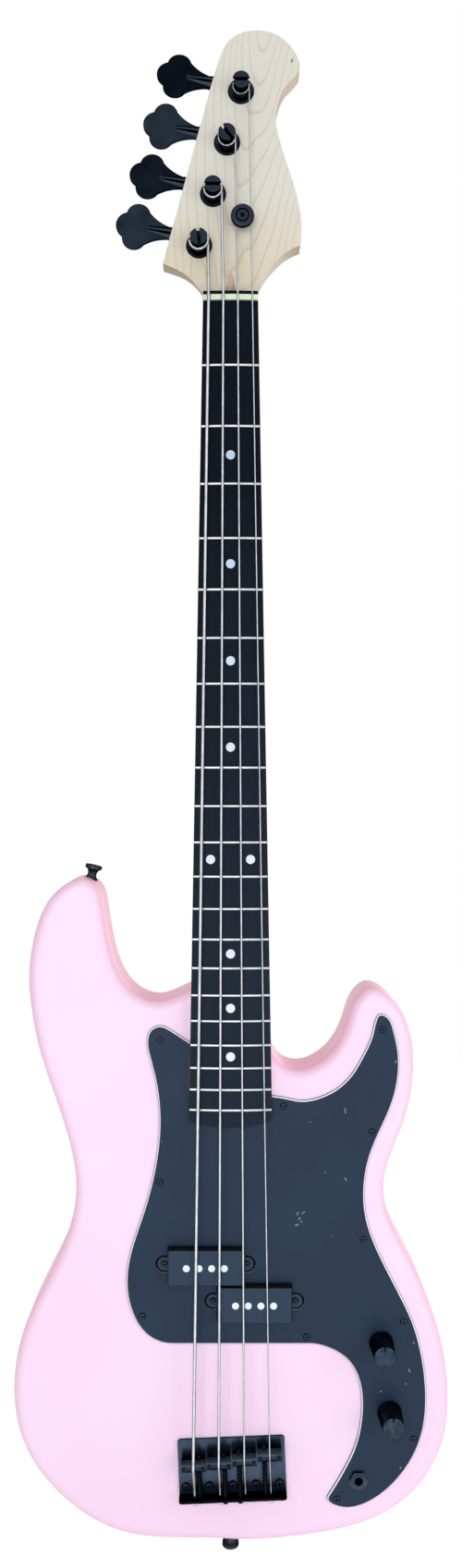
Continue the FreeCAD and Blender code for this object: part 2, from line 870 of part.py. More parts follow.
def headstock():
    """Return the headstock with its curved step down from the fretboard."""
    y = board_bottom_y
    left = [head_point(shares, y) for shares in head_left_shares]
    right = [head_point(shares, y) for shares in head_right_shares]
    top = [head_point(shares, y) for shares in head_top_shares]
    rise = (top[0] - left[0]).normalize()
    fall = (top[-1] - top[-2]).normalize()
    side = nut_width / 2
    left_foot = Vector(-side, y, nut_z)
    right_foot = Vector(side, y, nut_z)
    edges = [
        line(left[0], top[0]),
        spline(top, first=rise, last=fall),
        spline(list(reversed(right))),
        line(right[0], right_foot),
        line(right_foot, left_foot),
        line(left_foot, left[-1]),
        spline(list(reversed(left))),
    ]
    outline = slab(edges, head_back_y - board_bottom_y)
    tip_z = nut_z + headstock_length + cut_margin
    wide = headstock_width
    ramp_end_z = strip_end_z + headstock_ramp
    drop = head_face_y - board_bottom_y
    corners = [
        Vector(-wide, board_bottom_y, nut_z),
        Vector(-wide, board_bottom_y, strip_end_z),
        Vector(-wide, head_face_y - drop / 4, strip_end_z + headstock_ramp / 3),
        Vector(-wide, head_face_y, ramp_end_z),
        Vector(-wide, head_face_y, tip_z),
        Vector(-wide, head_back_y, tip_z),
        Vector(-wide, head_back_y, nut_z + headstock_back_ramp),
        Vector(-wide, board_bottom_y + drop / 2, nut_z),
    ]
    profile = [
        line(corners[0], corners[1]),
        arc(corners[1], corners[2], corners[3]),
        line(corners[3], corners[4]),
        line(corners[4], corners[5]),
        line(corners[5], corners[6]),
        line(corners[6], corners[7]),
        line(corners[7], corners[0]),
    ]
    side_solid = Part.Face(Part.Wire(profile)).extrude(Vector(2 * wide, 0, 0))
    return outline.common(side_solid)


def rod_y():
    """Return the truss rod's middle line."""
    return board_bottom_y + rod_depth


def rod_nut_z():
    """Return where the truss rod's nut starts, below the scoop in the headstock."""
    return nut_z - rod_nut_length


def neck():
    """Return the neck with its heel, headstock, truss rod hole and screw holes."""
    heel_top_z = heel_end_z + heel_length / 2
    shaft = Part.makeLoft(
        [neck_section(nut_z, neck_depth_at_nut), neck_section(heel_top_z, neck_depth_at_heel)], True, True
    )
    ramp_z = nut_z + headstock_back_ramp
    full = headstock_drop + headstock_thickness
    ramp_share = (strip_end_z - nut_z) / headstock_back_ramp
    step_depth = neck_depth_at_nut + (full - neck_depth_at_nut) * ramp_share
    sections = [neck_section(nut_z, neck_depth_at_nut), neck_section(strip_end_z, step_depth)]
    step = Part.makeLoft(sections, True, True)
    top = Part.makeLoft([neck_section(strip_end_z, step_depth), neck_section(ramp_z, full)], True, True)
    top = top.common(block(-nut_width, nut_width, head_face_y, head_back_y, strip_end_z, ramp_z))
    solid = joined([heel(), shaft, step, top, headstock()])
    cuts = []
    low_z = nut_z - rod_length
    cuts.append(Part.makeCylinder(rod_radius + seat_clearance, rod_length, Vector(0, rod_y(), low_z)))
    hollow = rod_nut_radius + turning_clearance
    cuts.append(Part.makeCylinder(hollow, rod_nut_length + nut_thickness, Vector(0, rod_y(), rod_nut_z())))
    tilt = math.radians(scoop_tilt)
    scoop_way = Vector(0, -math.sin(tilt), math.cos(tilt))
    cuts.append(Part.makeCylinder(scoop_radius, scoop_length, Vector(0, rod_y(), nut_z), scoop_way))
    for x, z in neck_screw_places():
        hole = neck_screw_radius + seat_clearance
        end_y = heel_back_y - neck_screw_bite - seat_clearance
        cuts.append(drill(x, z, end_y, heel_back_y + cut_margin, hole))
    for number in range(len(string_names)):
        cuts.append(on_headstock(post_hole(), number))
    x, z = tree_place()
    hole_end = head_face_y + tree_screw_depth + seat_clearance
    cuts.append(drill(x, z, head_face_y - cut_margin, hole_end, tree_screw_radius + seat_clearance))
    return solid.cut(cuts)


def post_hole():
    """Return the holes of one tuner in the headstock."""
    sleeve_end = ferrule_sleeve_length - headstock_thickness
    wide = ferrule_sleeve_radius + seat_clearance
    start = Vector(0, 0, -headstock_thickness)
    hole = Part.makeCylinder(post_radius + passing_clearance, headstock_thickness * 2, start)
    step = Part.makeCylinder(wide, cut_margin, Vector(0, 0, sleeve_end - cut_margin))
    holes = [step]
    for u, w in tuner_screw_places():
        depth = tuner_screw_depth + seat_clearance
        radius = tuner_screw_radius + seat_clearance
        holes.append(Part.makeCylinder(radius, depth + cut_margin, Vector(u, w, -depth)))
    return hole.fuse(holes)


def truss_rod():
    """Return the rod inside the neck."""
    length = rod_length - rod_nut_length
    return Part.makeCylinder(rod_radius, length, Vector(0, rod_y(), nut_z - rod_length))


def truss_rod_nut():
    """Return the nut that tightens the truss rod, with a six-sided key hole in its end."""
    start = Vector(0, rod_y(), rod_nut_z())
    solid = Part.makeCylinder(rod_nut_radius, rod_nut_length, start)
    socket_z = rod_nut_z() + rod_nut_length - rod_nut_socket_depth
    socket = hexagon(rod_nut_socket_radius, cut_margin)
    socket.translate(Vector(0, rod_y(), socket_z))
    return solid.cut(socket)


def fretboard_blank():
    """Return the fretboard without slots and dots."""
    end_z = nut_z - board_length
    top = half_width(strip_end_z)
    low = half_width(end_z + board_corner_radius)
    soft = board_corner_radius * (1 - math.sqrt(2) / 2)
    y = board_top_y
    corner_z = end_z + board_corner_radius
    edges = [
        line(Vector(top, y, strip_end_z), Vector(low, y, corner_z)),
        arc(
            Vector(low, y, corner_z),
            Vector(low - soft, y, end_z + soft),
            Vector(low - board_corner_radius, y, end_z),
        ),
        arc(
            Vector(low - board_corner_radius, y, end_z),
            Vector(0, y, end_z - board_end_bulge),
            Vector(board_corner_radius - low, y, end_z),
        ),
        arc(
            Vector(board_corner_radius - low, y, end_z),
            Vector(soft - low, y, end_z + soft),
            Vector(-low, y, corner_z),
        ),
        line(Vector(-low, y, corner_z), Vector(-top, y, strip_end_z)),
        line(Vector(-top, y, strip_end_z), Vector(top, y, strip_end_z)),
    ]
    solid = slab(edges, board_thickness)
    bottom = end_z - cut_margin
    start = Vector(0, board_axis_y, bottom)
    round_top = Part.makeCylinder(board_radius, board_length + 3 * cut_margin, start)
    return solid.common(round_top)


def dots():
    """Return the position dots of the fretboard and its edge, before they are cut to its shape."""
    shapes = []
    for number in single_dot_frets + (double_dot_fret,):
        z = (fret_z(number) + fret_z(number - 1)) / 2
        sides = [-double_dot_side, double_dot_side] if number == double_dot_fret else [0]
        for x in sides:
            shapes.append(drill(x, z, board_top_y - dot_depth, board_top_y + dot_depth, dot_radius))
    for number in single_dot_frets + (double_dot_fret,):
        z = (fret_z(number) + fret_z(number - 1)) / 2
        offsets = [0]
        if number == double_dot_fret:
            offsets = [-double_side_dot_spacing / 2, double_side_dot_spacing / 2]
        for offset in offsets:
            start = Vector(-half_width(z) - side_dot_depth, board_top_y + side_dot_drop, z + offset)
            shapes.append(Part.makeCylinder(side_dot_radius, 2 * side_dot_depth, start, Vector(1, 0, 0)))
    return shapes


def fret(number):
    """Return one fret, its crown bent over the fretboard and its tang below it."""
    z = fret_z(number)
    half_crown = fret_crown_width / 2
    half_tang = fret_tang_width / 2
    top = board_radius + fret_crown_height
    low = board_radius - fret_tang_depth
    start_angle = math.asin((half_width(z) - fret_end_inset) / board_radius)
    points = [
        Vector(0, board_axis_y - board_radius, z - half_crown),
        Vector(0, board_axis_y - top, z),
        Vector(0, board_axis_y - board_radius, z + half_crown),
        Vector(0, board_axis_y - board_radius, z + half_tang),
        Vector(0, board_axis_y - low, z + half_tang),
        Vector(0, board_axis_y - low, z - half_tang),
        Vector(0, board_axis_y - board_radius, z - half_tang),
    ]
    edges = [arc(points[0], points[1], points[2])]
    edges += [line(points[index], points[index + 1]) for index in range(2, len(points) - 1)]
    edges.append(line(points[-1], points[0]))
    face = Part.Face(Part.Wire(edges))
    axis_point = Vector(0, board_axis_y, z)
    face.rotate(axis_point, Vector(0, 0, 1), -math.degrees(start_angle))
    return face.revolve(axis_point, Vector(0, 0, 1), 2 * math.degrees(start_angle))


def fret_slot(number):
    """Return the saw slot of one fret."""
    z = fret_z(number)
    half = fret_tang_width / 2 + seat_clearance
    outer = Part.makeCylinder(board_radius + cut_margin, 2 * half, Vector(0, board_axis_y, z - half))
    inner_radius = board_radius - fret_tang_depth - seat_clearance
    inner = Part.makeCylinder(inner_radius, 2 * half, Vector(0, board_axis_y, z - half))
    ring = outer.cut(inner)
    side = half_width(z) + cut_margin
    return ring.common(block(-side, side, board_top_y - cut_margin, board_bottom_y, z - half, z + half))


def fretboard(dot_shapes):
    """Return the fretboard with fret slots, nut slot and dot holes."""
    cuts = [fret_slot(number) for number in range(1, fret_count + 1)]
    seat_y = board_top_y + nut_seat_depth
    cuts.append(block(-nut_width, nut_width, board_top_y - cut_margin, seat_y, nut_z, nut_z + nut_thickness))
    return fretboard_blank().cut(cuts).cut(dot_shapes)


def nut(string_shapes):
    """Return the nut with its string slots."""
    side = half_width(nut_z)
    seat_y = board_top_y + nut_seat_depth
    solid = block(-side, side, board_top_y - cut_margin, seat_y, nut_z, nut_z + nut_thickness)
    round_top = Part.makeCylinder(board_radius + nut_rise, nut_thickness, Vector(0, board_axis_y, nut_z))
    return solid.common(round_top).cut(string_shapes)


def neck_plate():
    """Return the plate behind the neck joint."""
    middle = heel_end_z + neck_plate_from_heel_end
    side = neck_plate_width / 2
    tall = neck_plate_length / 2
    back = body_back_y + neck_plate_thickness
    plate = rounded_plate(-side, side, body_back_y, back, middle - tall, middle + tall, neck_plate_corner)
    hole = neck_screw_radius + seat_clearance
    return plate.cut([drill(x, z, body_back_y, back, hole) for x, z in neck_screw_places()])


def neck_screws():
    """Return the four screws of the neck joint."""
    seat_y = body_back_y + neck_plate_thickness
    depth = seat_y - heel_back_y + neck_screw_bite
    shape = screw(neck_screw_head_radius, neck_screw_head_height, neck_screw_radius, depth)
    return [placed(shape, Vector(x, seat_y, z), Vector(0, 1, 0)) for x, z in neck_screw_places()]


def pickguard():
    """Return the pickguard with its bevelled edge and openings."""
    y = guard_top_y
    right = [body_point(shares, y) for shares in guard_right_shares]
    left = [body_point(shares, y) for shares in guard_left_shares]
    right_z = body_point((0, guard_neck_right_height_share), y).z
    left_z = body_point((0, guard_neck_left_height_share), y).z
    low_z = heel_end_z - guard_neck_gap
    right_top = Vector(half_width(right_z) + guard_neck_gap, y, right_z)
    left_top = Vector(-half_width(left_z) - guard_neck_gap, y, left_z)
    right_low = Vector(half_width(low_z) + guard_neck_gap, y, low_z)
    left_low = Vector(-half_width(low_z) - guard_neck_gap, y, low_z)
    flat = (left[0] - right[-1]).normalize()
    right_start = (right[0] - right_top).normalize()
    left_end = (left_top - left[-1]).normalize()
    edges = stretches(spline([right_top] + right, first=right_start, last=flat))
    edges.append(line(right[-1], left[0]))
    edges = edges + stretches(spline(left + [left_top], first=flat, last=left_end))
    edges.append(line(left_top, left_low))
    edges.append(line(left_low, right_low))
    edges.append(line(right_low, right_top))
    plate = slab(edges, guard_thickness)
    rim = []
    for edge in plate.Edges:
        at_front = edge.BoundBox.YMax < guard_top_y + guard_bevel / 2
        right_of_left = edge.BoundBox.XMin > left_top.x * guard_neck_reach_share
        left_of_right = edge.BoundBox.XMax < right_low.x * guard_neck_reach_share
        beside_neck = right_of_left and left_of_right
        if at_front and not beside_neck:
            rim.append(edge)
    plate = plate.makeChamfer(guard_bevel, rim)
    screw_hole = guard_screw_radius + seat_clearance
    cuts = [drill(x, z, y, body_front_y, screw_hole) for x, z in guard_screw_places()]
    for x, z in pickup_places():
        cuts.append(pickup_outline(x, z, pickup_gap, y - cut_margin, body_front_y + cut_margin))
    hole = pot_bushing_radius + seat_clearance
    for x, z in ((volume_x, volume_z), (tone_x, tone_z)):
        cuts.append(drill(x, z, y - cut_margin, body_front_y + cut_margin, hole))
    hole = jack_bushing_radius + seat_clearance
    cuts.append(drill(jack_x, jack_z, y - cut_margin, body_front_y + cut_margin, hole))
    return plate.cut(cuts)


def guard_screws():
    """Return the pickguard's screws."""
    depth = guard_screw_depth
    shape = screw(guard_screw_head_radius, guard_screw_head_height, guard_screw_radius, depth)
    return front_screws(shape, guard_screw_places(), guard_top_y)


def ear_top_y():
    """Return the front of the pickup ears."""
    return guard_top_y + ear_below_guard_top


def pickup_cover(x, z):
    """Return the cover of one pickup half, open at the back, with two ears and holes for the poles."""
    top = guard_top_y - pickup_rise
    back = body_front_y + pickup_depth
    long = pickup_length / 2
    wide = pickup_width / 2
    solid = block(x - long, x + long, top, back, z - wide, z + wide)
    soft = [edge for edge in solid.Edges if edge.BoundBox.YMin < back - pickup_edge_round]
    solid = solid.makeFillet(pickup_edge_round, soft)
    ears = long_slot(
        x - ear_reach, z, x + ear_reach, z, ear_radius, ear_top_y(), ear_top_y() + ear_thickness
    )
    solid = joined([solid, ears])
    wall = pickup_wall
    hollow = block(x - long + wall, x + long - wall, top + wall, back, z - wide + wall, z + wide - wall)
    cuts = [hollow]
    for pole_x in pole_places(x):
        cuts.append(drill(pole_x, z, top - wall, top + 2 * wall, pole_radius + seat_clearance))
    for side in (-ear_reach, ear_reach):
        hole = pickup_screw_radius + seat_clearance
        cuts.append(drill(x + side, z, ear_top_y() - wall, ear_top_y() + 2 * ear_thickness, hole))
    return solid.cut(cuts)


def pole_places(x):
    """Return the sideways places of a pickup half's poles."""
    first = x - pole_spacing * (pole_count - 1) / 2
    return [first + number * pole_spacing for number in range(pole_count)]


def bobbin(x, z):
    """Return the bobbin of one pickup half, whose waist carries the winding."""
    top = guard_top_y - pickup_rise + pickup_wall
    back = top + pole_length - pickup_wall - pole_rise
    gap = pickup_wall + seat_clearance
    long = pickup_length / 2 - gap
    wide = pickup_width / 2 - gap
    solid = block(x - long, x + long, top, back, z - wide, z + wide)
    core_long = long - bobbin_waist
    core_wide = wide - bobbin_waist
    band = block(x - long, x + long, top + bobbin_flange, back - bobbin_flange, z - wide, z + wide)
    core = block(
        x - core_long, x + core_long, top + bobbin_flange, back - bobbin_flange, z - core_wide, z + core_wide
    )
    poles = [drill(pole_x, z, top, back, pole_radius + seat_clearance) for pole_x in pole_places(x)]
    return solid.cut(band.cut(core)).cut(poles)


def poles(x, z):
    """Return the pole pieces of one pickup half."""
    top = guard_top_y - pickup_rise - pole_rise
    return [drill(pole_x, z, top, top + pole_length, pole_radius) for pole_x in pole_places(x)]


def pickup_screws():
    """Return the screws in the pickup ears."""
    depth = pickup_screw_depth
    shape = screw(pickup_screw_head_radius, pickup_screw_head_height, pickup_screw_radius, depth)
    return front_screws(shape, ear_places(), ear_top_y())


def knob(x, z):
    """Return one control knob with the potentiometer shaft that turns in it."""
    base_y = guard_top_y - knob_gap
    top_y = base_y - knob_height
    base = Vector(x, base_y, z)
    solid = Part.makeCone(knob_base_radius, knob_top_radius, knob_height, base, Vector(0, -1, 0))
    rim = [edge for edge in solid.Edges if edge.BoundBox.YMax < top_y + knob_edge_round]
    solid = solid.makeFillet(knob_edge_round, rim)
    hollow = drill(x, z, base_y - knob_hollow_depth, base_y, knob_hollow_radius)
    bore = drill(x, z, base_y - knob_bore_depth, base_y, pot_shaft_radius + seat_clearance)
    half_mark = knob_mark_width / 2
    mark_low = z + knob_top_radius - knob_mark_length
    mark = block(x - half_mark, x + half_mark, top_y, top_y + knob_mark_depth, mark_low, z + knob_base_radius)
    solid = solid.cut([hollow, bore, mark])
    shaft_end = body_front_y + pot_socket_depth
    shaft = drill(x, z, base_y - knob_bore_depth + seat_clearance, shaft_end, pot_shaft_radius)
    return Part.makeCompound([solid, shaft])


def potentiometer(x, z):
    """Return the fixed part of one potentiometer: can, bushing and soldering lugs."""
    can = drill(x, z, body_front_y, body_front_y + pot_height, pot_radius)
    bushing = drill(x, z, guard_top_y - pot_bushing_rise, body_front_y, pot_bushing_radius)
    pieces = [can, bushing]
    lug_y = body_front_y + pot_height / 3
    for number in (-1, 0, 1):
        middle = x + number * pot_lug_width * 2
        half = pot_lug_width / 2
        low = z - pot_radius - pot_lug_reach / 4
        pieces.append(block(middle - half, middle + half, lug_y, lug_y + pot_lug_thickness, low, z))
    socket = drill(
        x, z, guard_top_y - cut_margin, body_front_y + pot_socket_depth + turning_clearance,
        pot_shaft_radius + turning_clearance,
    )
    return joined(pieces).cut(socket)


def control_nuts():
    """Return the nuts and washers on the potentiometers and the jack."""
    shapes = []
    parts = (
        (volume_x, volume_z, pot_bushing_radius, pot_nut_radius, pot_nut_height),
        (tone_x, tone_z, pot_bushing_radius, pot_nut_radius, pot_nut_height),
        (jack_x, jack_z, jack_bushing_radius, jack_nut_radius, jack_nut_height),
    )
    for x, z, bushing, radius, height in parts:
        bore = bushing + seat_clearance
        washer_y = guard_top_y - washer_thickness
        washer = drill(x, z, washer_y, guard_top_y, washer_radius)
        shapes.append(washer.cut(drill(x, z, washer_y, guard_top_y, bore)))
        shapes.append(placed(hexagon_nut(radius, height, bore), Vector(x, washer_y, z), Vector(0, -1, 0)))
    return shapes


def output_jack():
    """Return the output jack with its two soldering lugs."""
    front = guard_top_y - jack_bushing_rise
    back = body_front_y + jack_body_length
    bushing = drill(jack_x, jack_z, front, body_front_y, jack_bushing_radius)
    barrel = drill(jack_x, jack_z, body_front_y, back, jack_body_radius)
    pieces = [bushing, barrel]
    for side in (-1, 1):
        middle = jack_x + side * jack_body_radius / 2
        half = jack_lug_width / 2
        low = jack_z - jack_lug_thickness / 2
        high = jack_z + jack_lug_thickness / 2
        pieces.append(block(middle - half, middle + half, back, back + jack_lug_length, low, high))
    return joined(pieces).cut(drill(jack_x, jack_z, front, back, jack_bore_radius))


def wiring():
    """Return the wires and the capacitor between pickups, controls, jack and bridge."""
    can_y = body_front_y + pot_height
    low_y = can_y + wire_drop
    lug_y = body_front_y + jack_body_length
    half_can = pot_radius / 2
    edge = pot_radius * wire_edge_share
    runs = [
        [
            Vector(volume_x + edge, can_y, volume_z), Vector(volume_x + edge, low_y, volume_z),
            Vector(tone_x + edge, low_y, tone_z), Vector(tone_x + edge, can_y, tone_z),
        ],
        [
            Vector(tone_x, can_y, tone_z - half_can), Vector(tone_x, lug_y, tone_z - half_can),
            Vector(jack_x + half_can, lug_y + wire_bend, jack_z),
        ],
        [
            Vector(pickup_right_x + ear_reach / 2, bobbin_back_y(), pickup_right_z),
            Vector(pickup_right_x + ear_reach / 2, bobbin_back_y() + wire_bend, pickup_right_z),
            Vector(volume_x, low_y, volume_z), Vector(volume_x, can_y, volume_z),
        ],
    ]
    shapes = [tube(bent_path(points, wire_bend / 2), wire_radius) for points in runs]
    start, end = ground_wire_ends()
    way = (end - start).normalize()
    inside = start + way * ((ground_hole_radius + 2 * wire_radius) / way.y)
    length = (end - inside).Length - jack_body_radius - wire_radius
    shapes.append(Part.makeCylinder(wire_radius, length, inside, way))
    middle = Vector(tone_x - capacitor_length / 2, can_y + capacitor_radius, tone_z + half_can)
    shapes.append(Part.makeCylinder(capacitor_radius, capacitor_length, middle, Vector(1, 0, 0)))
    return shapes


def bobbin_back_y():
    """Return the back of the bobbins."""
    return guard_top_y - pickup_rise + pole_length - pole_rise


def bridge_plate():
    """Return the bridge's bent plate, its origin in the middle of its front edge."""
    side = bridge_width / 2
    plate = rounded_plate(-side, side, -bridge_thickness, 0, -bridge_length, 0, bridge_corner)
    lip_z = bridge_lip_thickness - bridge_length
    lip_y = -bridge_thickness - bridge_lip_height
    lip = rounded_lip(side, lip_y, lip_z)
    low = block(-side, side, -bridge_thickness, 0, -bridge_length, -bridge_length / 2)
    solid = joined([plate, low, lip])
    cuts = []
    for x, z in bridge_screw_places():
        cuts.append(drill(x, z, -cut_margin, cut_margin, bridge_screw_radius + seat_clearance))
    for number in range(len(string_names)):
        side_x = string_side(number, string_spacing_at_bridge)
        hole = string_radii[number] + string_hole_clearance
        start = Vector(side_x, string_hole_y() - body_front_y, -bridge_length - cut_margin)
        cuts.append(Part.makeCylinder(hole, cut_margin + bridge_lip_thickness, start))
        start = Vector(screw_side(number), saddle_y(number), -bridge_length - cut_margin)
        cuts.append(Part.makeCylinder(intonation_screw_radius + turning_clearance, cut_margin * 2, start))
    return solid.cut(cuts)


def rounded_lip(side, lip_y, lip_z):
    """Return the upright back edge of the bridge plate."""
    lip = block(-side, side, lip_y, 0, -bridge_length, lip_z)
    ends = []
    for edge in lip.Edges:
        if edge.BoundBox.ZLength > bridge_lip_thickness / 2 and edge.BoundBox.YMax < lip_y / 2:
            ends.append(edge)
    return lip.makeFillet(bridge_corner, ends)


def bridge_screws():
    """Return the screws that hold the bridge on the body."""
    shape = screw(bridge_screw_head_radius, bridge_screw_head_height, bridge_screw_radius, bridge_screw_depth)
    return [on_bridge(copy) for copy in front_screws(shape, bridge_screw_places(), -bridge_thickness)]


def string_hole_y():
    """Return the height of the string holes in the bridge's lip."""
    return plate_top_y - string_hole_height


def saddle(number):
    """Return one saddle barrel with its two height screws."""
    side = string_side(number, string_spacing_at_bridge)
    y = saddle_y(number)
    z = saddle_z(number)
    start = Vector(side - saddle_length / 2, y, z)
    barrel = Part.makeCylinder(saddle_radius, saddle_length, start, Vector(1, 0, 0))
    groove_radius = string_radii[number] + passing_clearance
    crest = string_crest(number)
    fall = string_lip_point(number) - crest
    cuts = [Part.makeCylinder(groove_radius, 2 * saddle_radius, crest)]
    cuts.append(Part.makeCylinder(groove_radius, 2 * saddle_radius, crest, fall))
    start = Vector(screw_side(number), y, z - 2 * saddle_radius)
    cuts.append(Part.makeCylinder(intonation_screw_radius + turning_clearance, 4 * saddle_radius, start))
    screws = []
    for offset in (-height_screw_side, height_screw_side):
        front = y - saddle_radius - height_screw_rise
        back = -bridge_thickness - height_screw_gap
        hole = height_screw_radius + seat_clearance
        cuts.append(drill(side + offset, z, front - cut_margin, back + cut_margin, hole))
        grub = drill(side + offset, z, front, back, height_screw_radius)
        socket = drill(side + offset, z, front, front + height_screw_socket_depth, height_screw_socket_radius)
        screws.append(grub.cut(socket))
    return Part.makeCompound([barrel.cut(cuts)] + screws)


def intonation_screw(number):
    """Return the screw that moves a saddle along the strings."""
    x = screw_side(number)
    y = saddle_y(number)
    seat_z = -bridge_length
    tip_z = saddle_z(number) + saddle_radius + intonation_tip
    shank = Part.makeCylinder(intonation_screw_radius, tip_z - seat_z, Vector(x, y, seat_z))
    head_z = seat_z - intonation_head_length
    head = Part.makeCylinder(intonation_head_radius, intonation_head_length, Vector(x, y, head_z))
    whole = joined([shank, head])
    half = intonation_head_radius * cross_width_share / 2
    long = intonation_head_radius * cross_length_share
    deep = head_z + intonation_head_length * cross_depth_share
    bar = block(x - long, x + long, y - half, y + half, head_z, deep)
    other = block(x - half, x + half, y - long, y + long, head_z, deep)
    return whole.cut([bar, other])


def half_turns(middle, radius, start_angle, rise, count, along, across, axis):
    """Return tangent half circles that climb along an axis, as a winding does."""
    edges = []
    for number in range(count):
        points = []
        for quarter in (0, 1, 2):
            angle = start_angle + math.pi * (number + quarter / 2)
            climb = axis * (rise * (number + quarter / 2))
            sideways = along * (radius * math.cos(angle)) + across * (radius * math.sin(angle))
            points.append(middle + sideways + climb)
        edges.append(arc(points[0], points[1], points[2]))
    return edges


def least_gap(edges, radius):
    """Return the least space between neighbouring turns of a winding, measured on points."""
    turns = [edge.discretize(gap_samples) for edge in edges]
    spaces = []
    for number, turn in enumerate(turns):
        for other in turns[number + 2:]:
            spaces += [first.distanceToPoint(second) for first in turn for second in other]
    return min(spaces) - 2 * radius


def spring_path(number):
    """Return the half circles of the spring between a saddle and the bridge's lip."""
    low = bridge_lip_thickness - bridge_length + spring_wire_radius + spring_end_gap
    high = saddle_z(number) - saddle_radius - spring_wire_radius - spring_end_gap
    rise = (high - low) / (2 * spring_turns)
    middle = Vector(screw_side(number), saddle_y(number), low)
    return half_turns(
        middle, spring_radius, 0, rise, 2 * spring_turns, Vector(1, 0, 0), Vector(0, 1, 0), Vector(0, 0, 1)
    )


def intonation_spring(number):
    """Return the spring between a saddle and the bridge's lip."""
    return tube(spring_path(number), spring_wire_radius)


def post_floor():
    """Return the front of the ferrules, where the windings on the posts start."""
    return head_face_y - ferrule_thickness - ferrule_ring_height


def nut_point(number):
    """Return where a string crosses the nut."""
    x = string_side(number, string_spacing_at_nut)
    return Vector(x, board_y(x) - string_rise_at_nut - string_radii[number], nut_z + nut_thickness / 2)


def string_crest(number):
    """Return where a string's middle crosses its saddle, on the bridge."""
    side = string_side(number, string_spacing_at_bridge)
    return Vector(side, string_y_at_saddle(number) - string_radii[number] - body_front_y, saddle_z(number))


def string_lip_point(number):
    """Return where a string comes straight out of the bridge's lip, on the bridge."""
    side = string_side(number, string_spacing_at_bridge)
    z = bridge_lip_thickness - bridge_length + string_bend / 2
    return Vector(side, string_hole_y() - body_front_y, z)


def string_points(number):
    """Return the places that a string is bent at, from its ball end to the headstock."""
    side = string_side(number, string_spacing_at_bridge)
    place = bridge_placement()
    hole_y = string_hole_y() - body_front_y
    ball = place.multVec(Vector(side, hole_y, -bridge_length - ball_radius))
    lip = place.multVec(string_lip_point(number))
    crest = place.multVec(string_crest(number))
    points = [ball, lip, crest, nut_point(number)]
    if number >= 2:
        points += [tree_point(number, -tree_radius), tree_point(number, tree_radius)]
    return points


def winding_start(number):
    """Return a winding's middle, its radius and the angle at which the string meets the post."""
    radius = string_radii[number]
    wrap_radius = post_waist_radius + passing_clearance + radius
    base = tuner_placement(number).Base
    wrap_y = post_floor() - post_waist_start - post_lean() - wrap_start_gap - radius
    last = string_points(number)[-1]
    away = Vector(last.x - base.x, 0, last.z - base.z)
    start_angle = math.atan2(away.z, away.x) + math.acos(wrap_radius / away.Length)
    return Vector(base.x, wrap_y, base.z), wrap_radius, start_angle


def string_winding(number):
    """Return the half circles of a string round its post."""
    middle, wrap_radius, start_angle = winding_start(number)
    rise = string_radii[number] + wrap_gap / 2
    return half_turns(
        middle, wrap_radius, start_angle, rise, wrap_turn_halves[number],
        Vector(1, 0, 0), Vector(0, 0, 1), Vector(0, -1, 0),
    )


def string_path(number):
    """Return the edges of a string from its ball end to the winding on its post."""
    points = string_points(number)
    last = points[-1]
    middle, wrap_radius, start_angle = winding_start(number)
    touch = middle + Vector(math.cos(start_angle), 0, math.sin(start_angle)) * wrap_radius
    run = Vector(touch.x - last.x, 0, touch.z - last.z).normalize() * string_post_run
    points += [touch - run, touch]
    return bent_path(points, string_bend) + string_winding(number)


def string(number):
    """Return a string with its ball end behind the bridge's lip."""
    wire = tube(string_path(number), string_radii[number])
    side = string_side(number, string_spacing_at_bridge)
    start = Vector(side - ball_length / 2, string_hole_y() - body_front_y, -bridge_length - ball_radius)
    ball = on_bridge(Part.makeCylinder(ball_radius, ball_length, start, Vector(1, 0, 0)))
    return wire.fuse(ball)


def nut_slot(number):
    """Return the room that a string takes in the nut."""
    radius = string_radii[number]
    crest = bridge_placement().multVec(string_crest(number))
    middle = nut_point(number)
    way = (crest - middle).normalize()
    start = middle - way * nut_thickness
    slot = Part.makeCylinder(radius + string_slot_clearance, 2 * nut_thickness, start, way)
    down = Vector(0, string_rise_at_nut, nut_thickness).normalize()
    back = Part.makeCylinder(radius + string_slot_clearance, 2 * nut_thickness, middle, down)
    return slot.fuse(back)


def tree_place():
    """Return where the string tree is."""
    return tree_x, nut_z + tree_z_share * headstock_length


def tree_point(number, offset):
    """Return where a string passes under the string tree's lower or upper edge."""
    z = tree_place()[1] + offset
    start = nut_point(number)
    base = tuner_placement(number).Base
    end_x = base.x + post_waist_radius + passing_clearance + string_radii[number]
    share = (z - start.z) / (base.z - start.z)
    y = head_face_y - tree_stem_length + tree_string_gap + string_radii[number]
    return Vector(start.x + (end_x - start.x) * share, y, z)


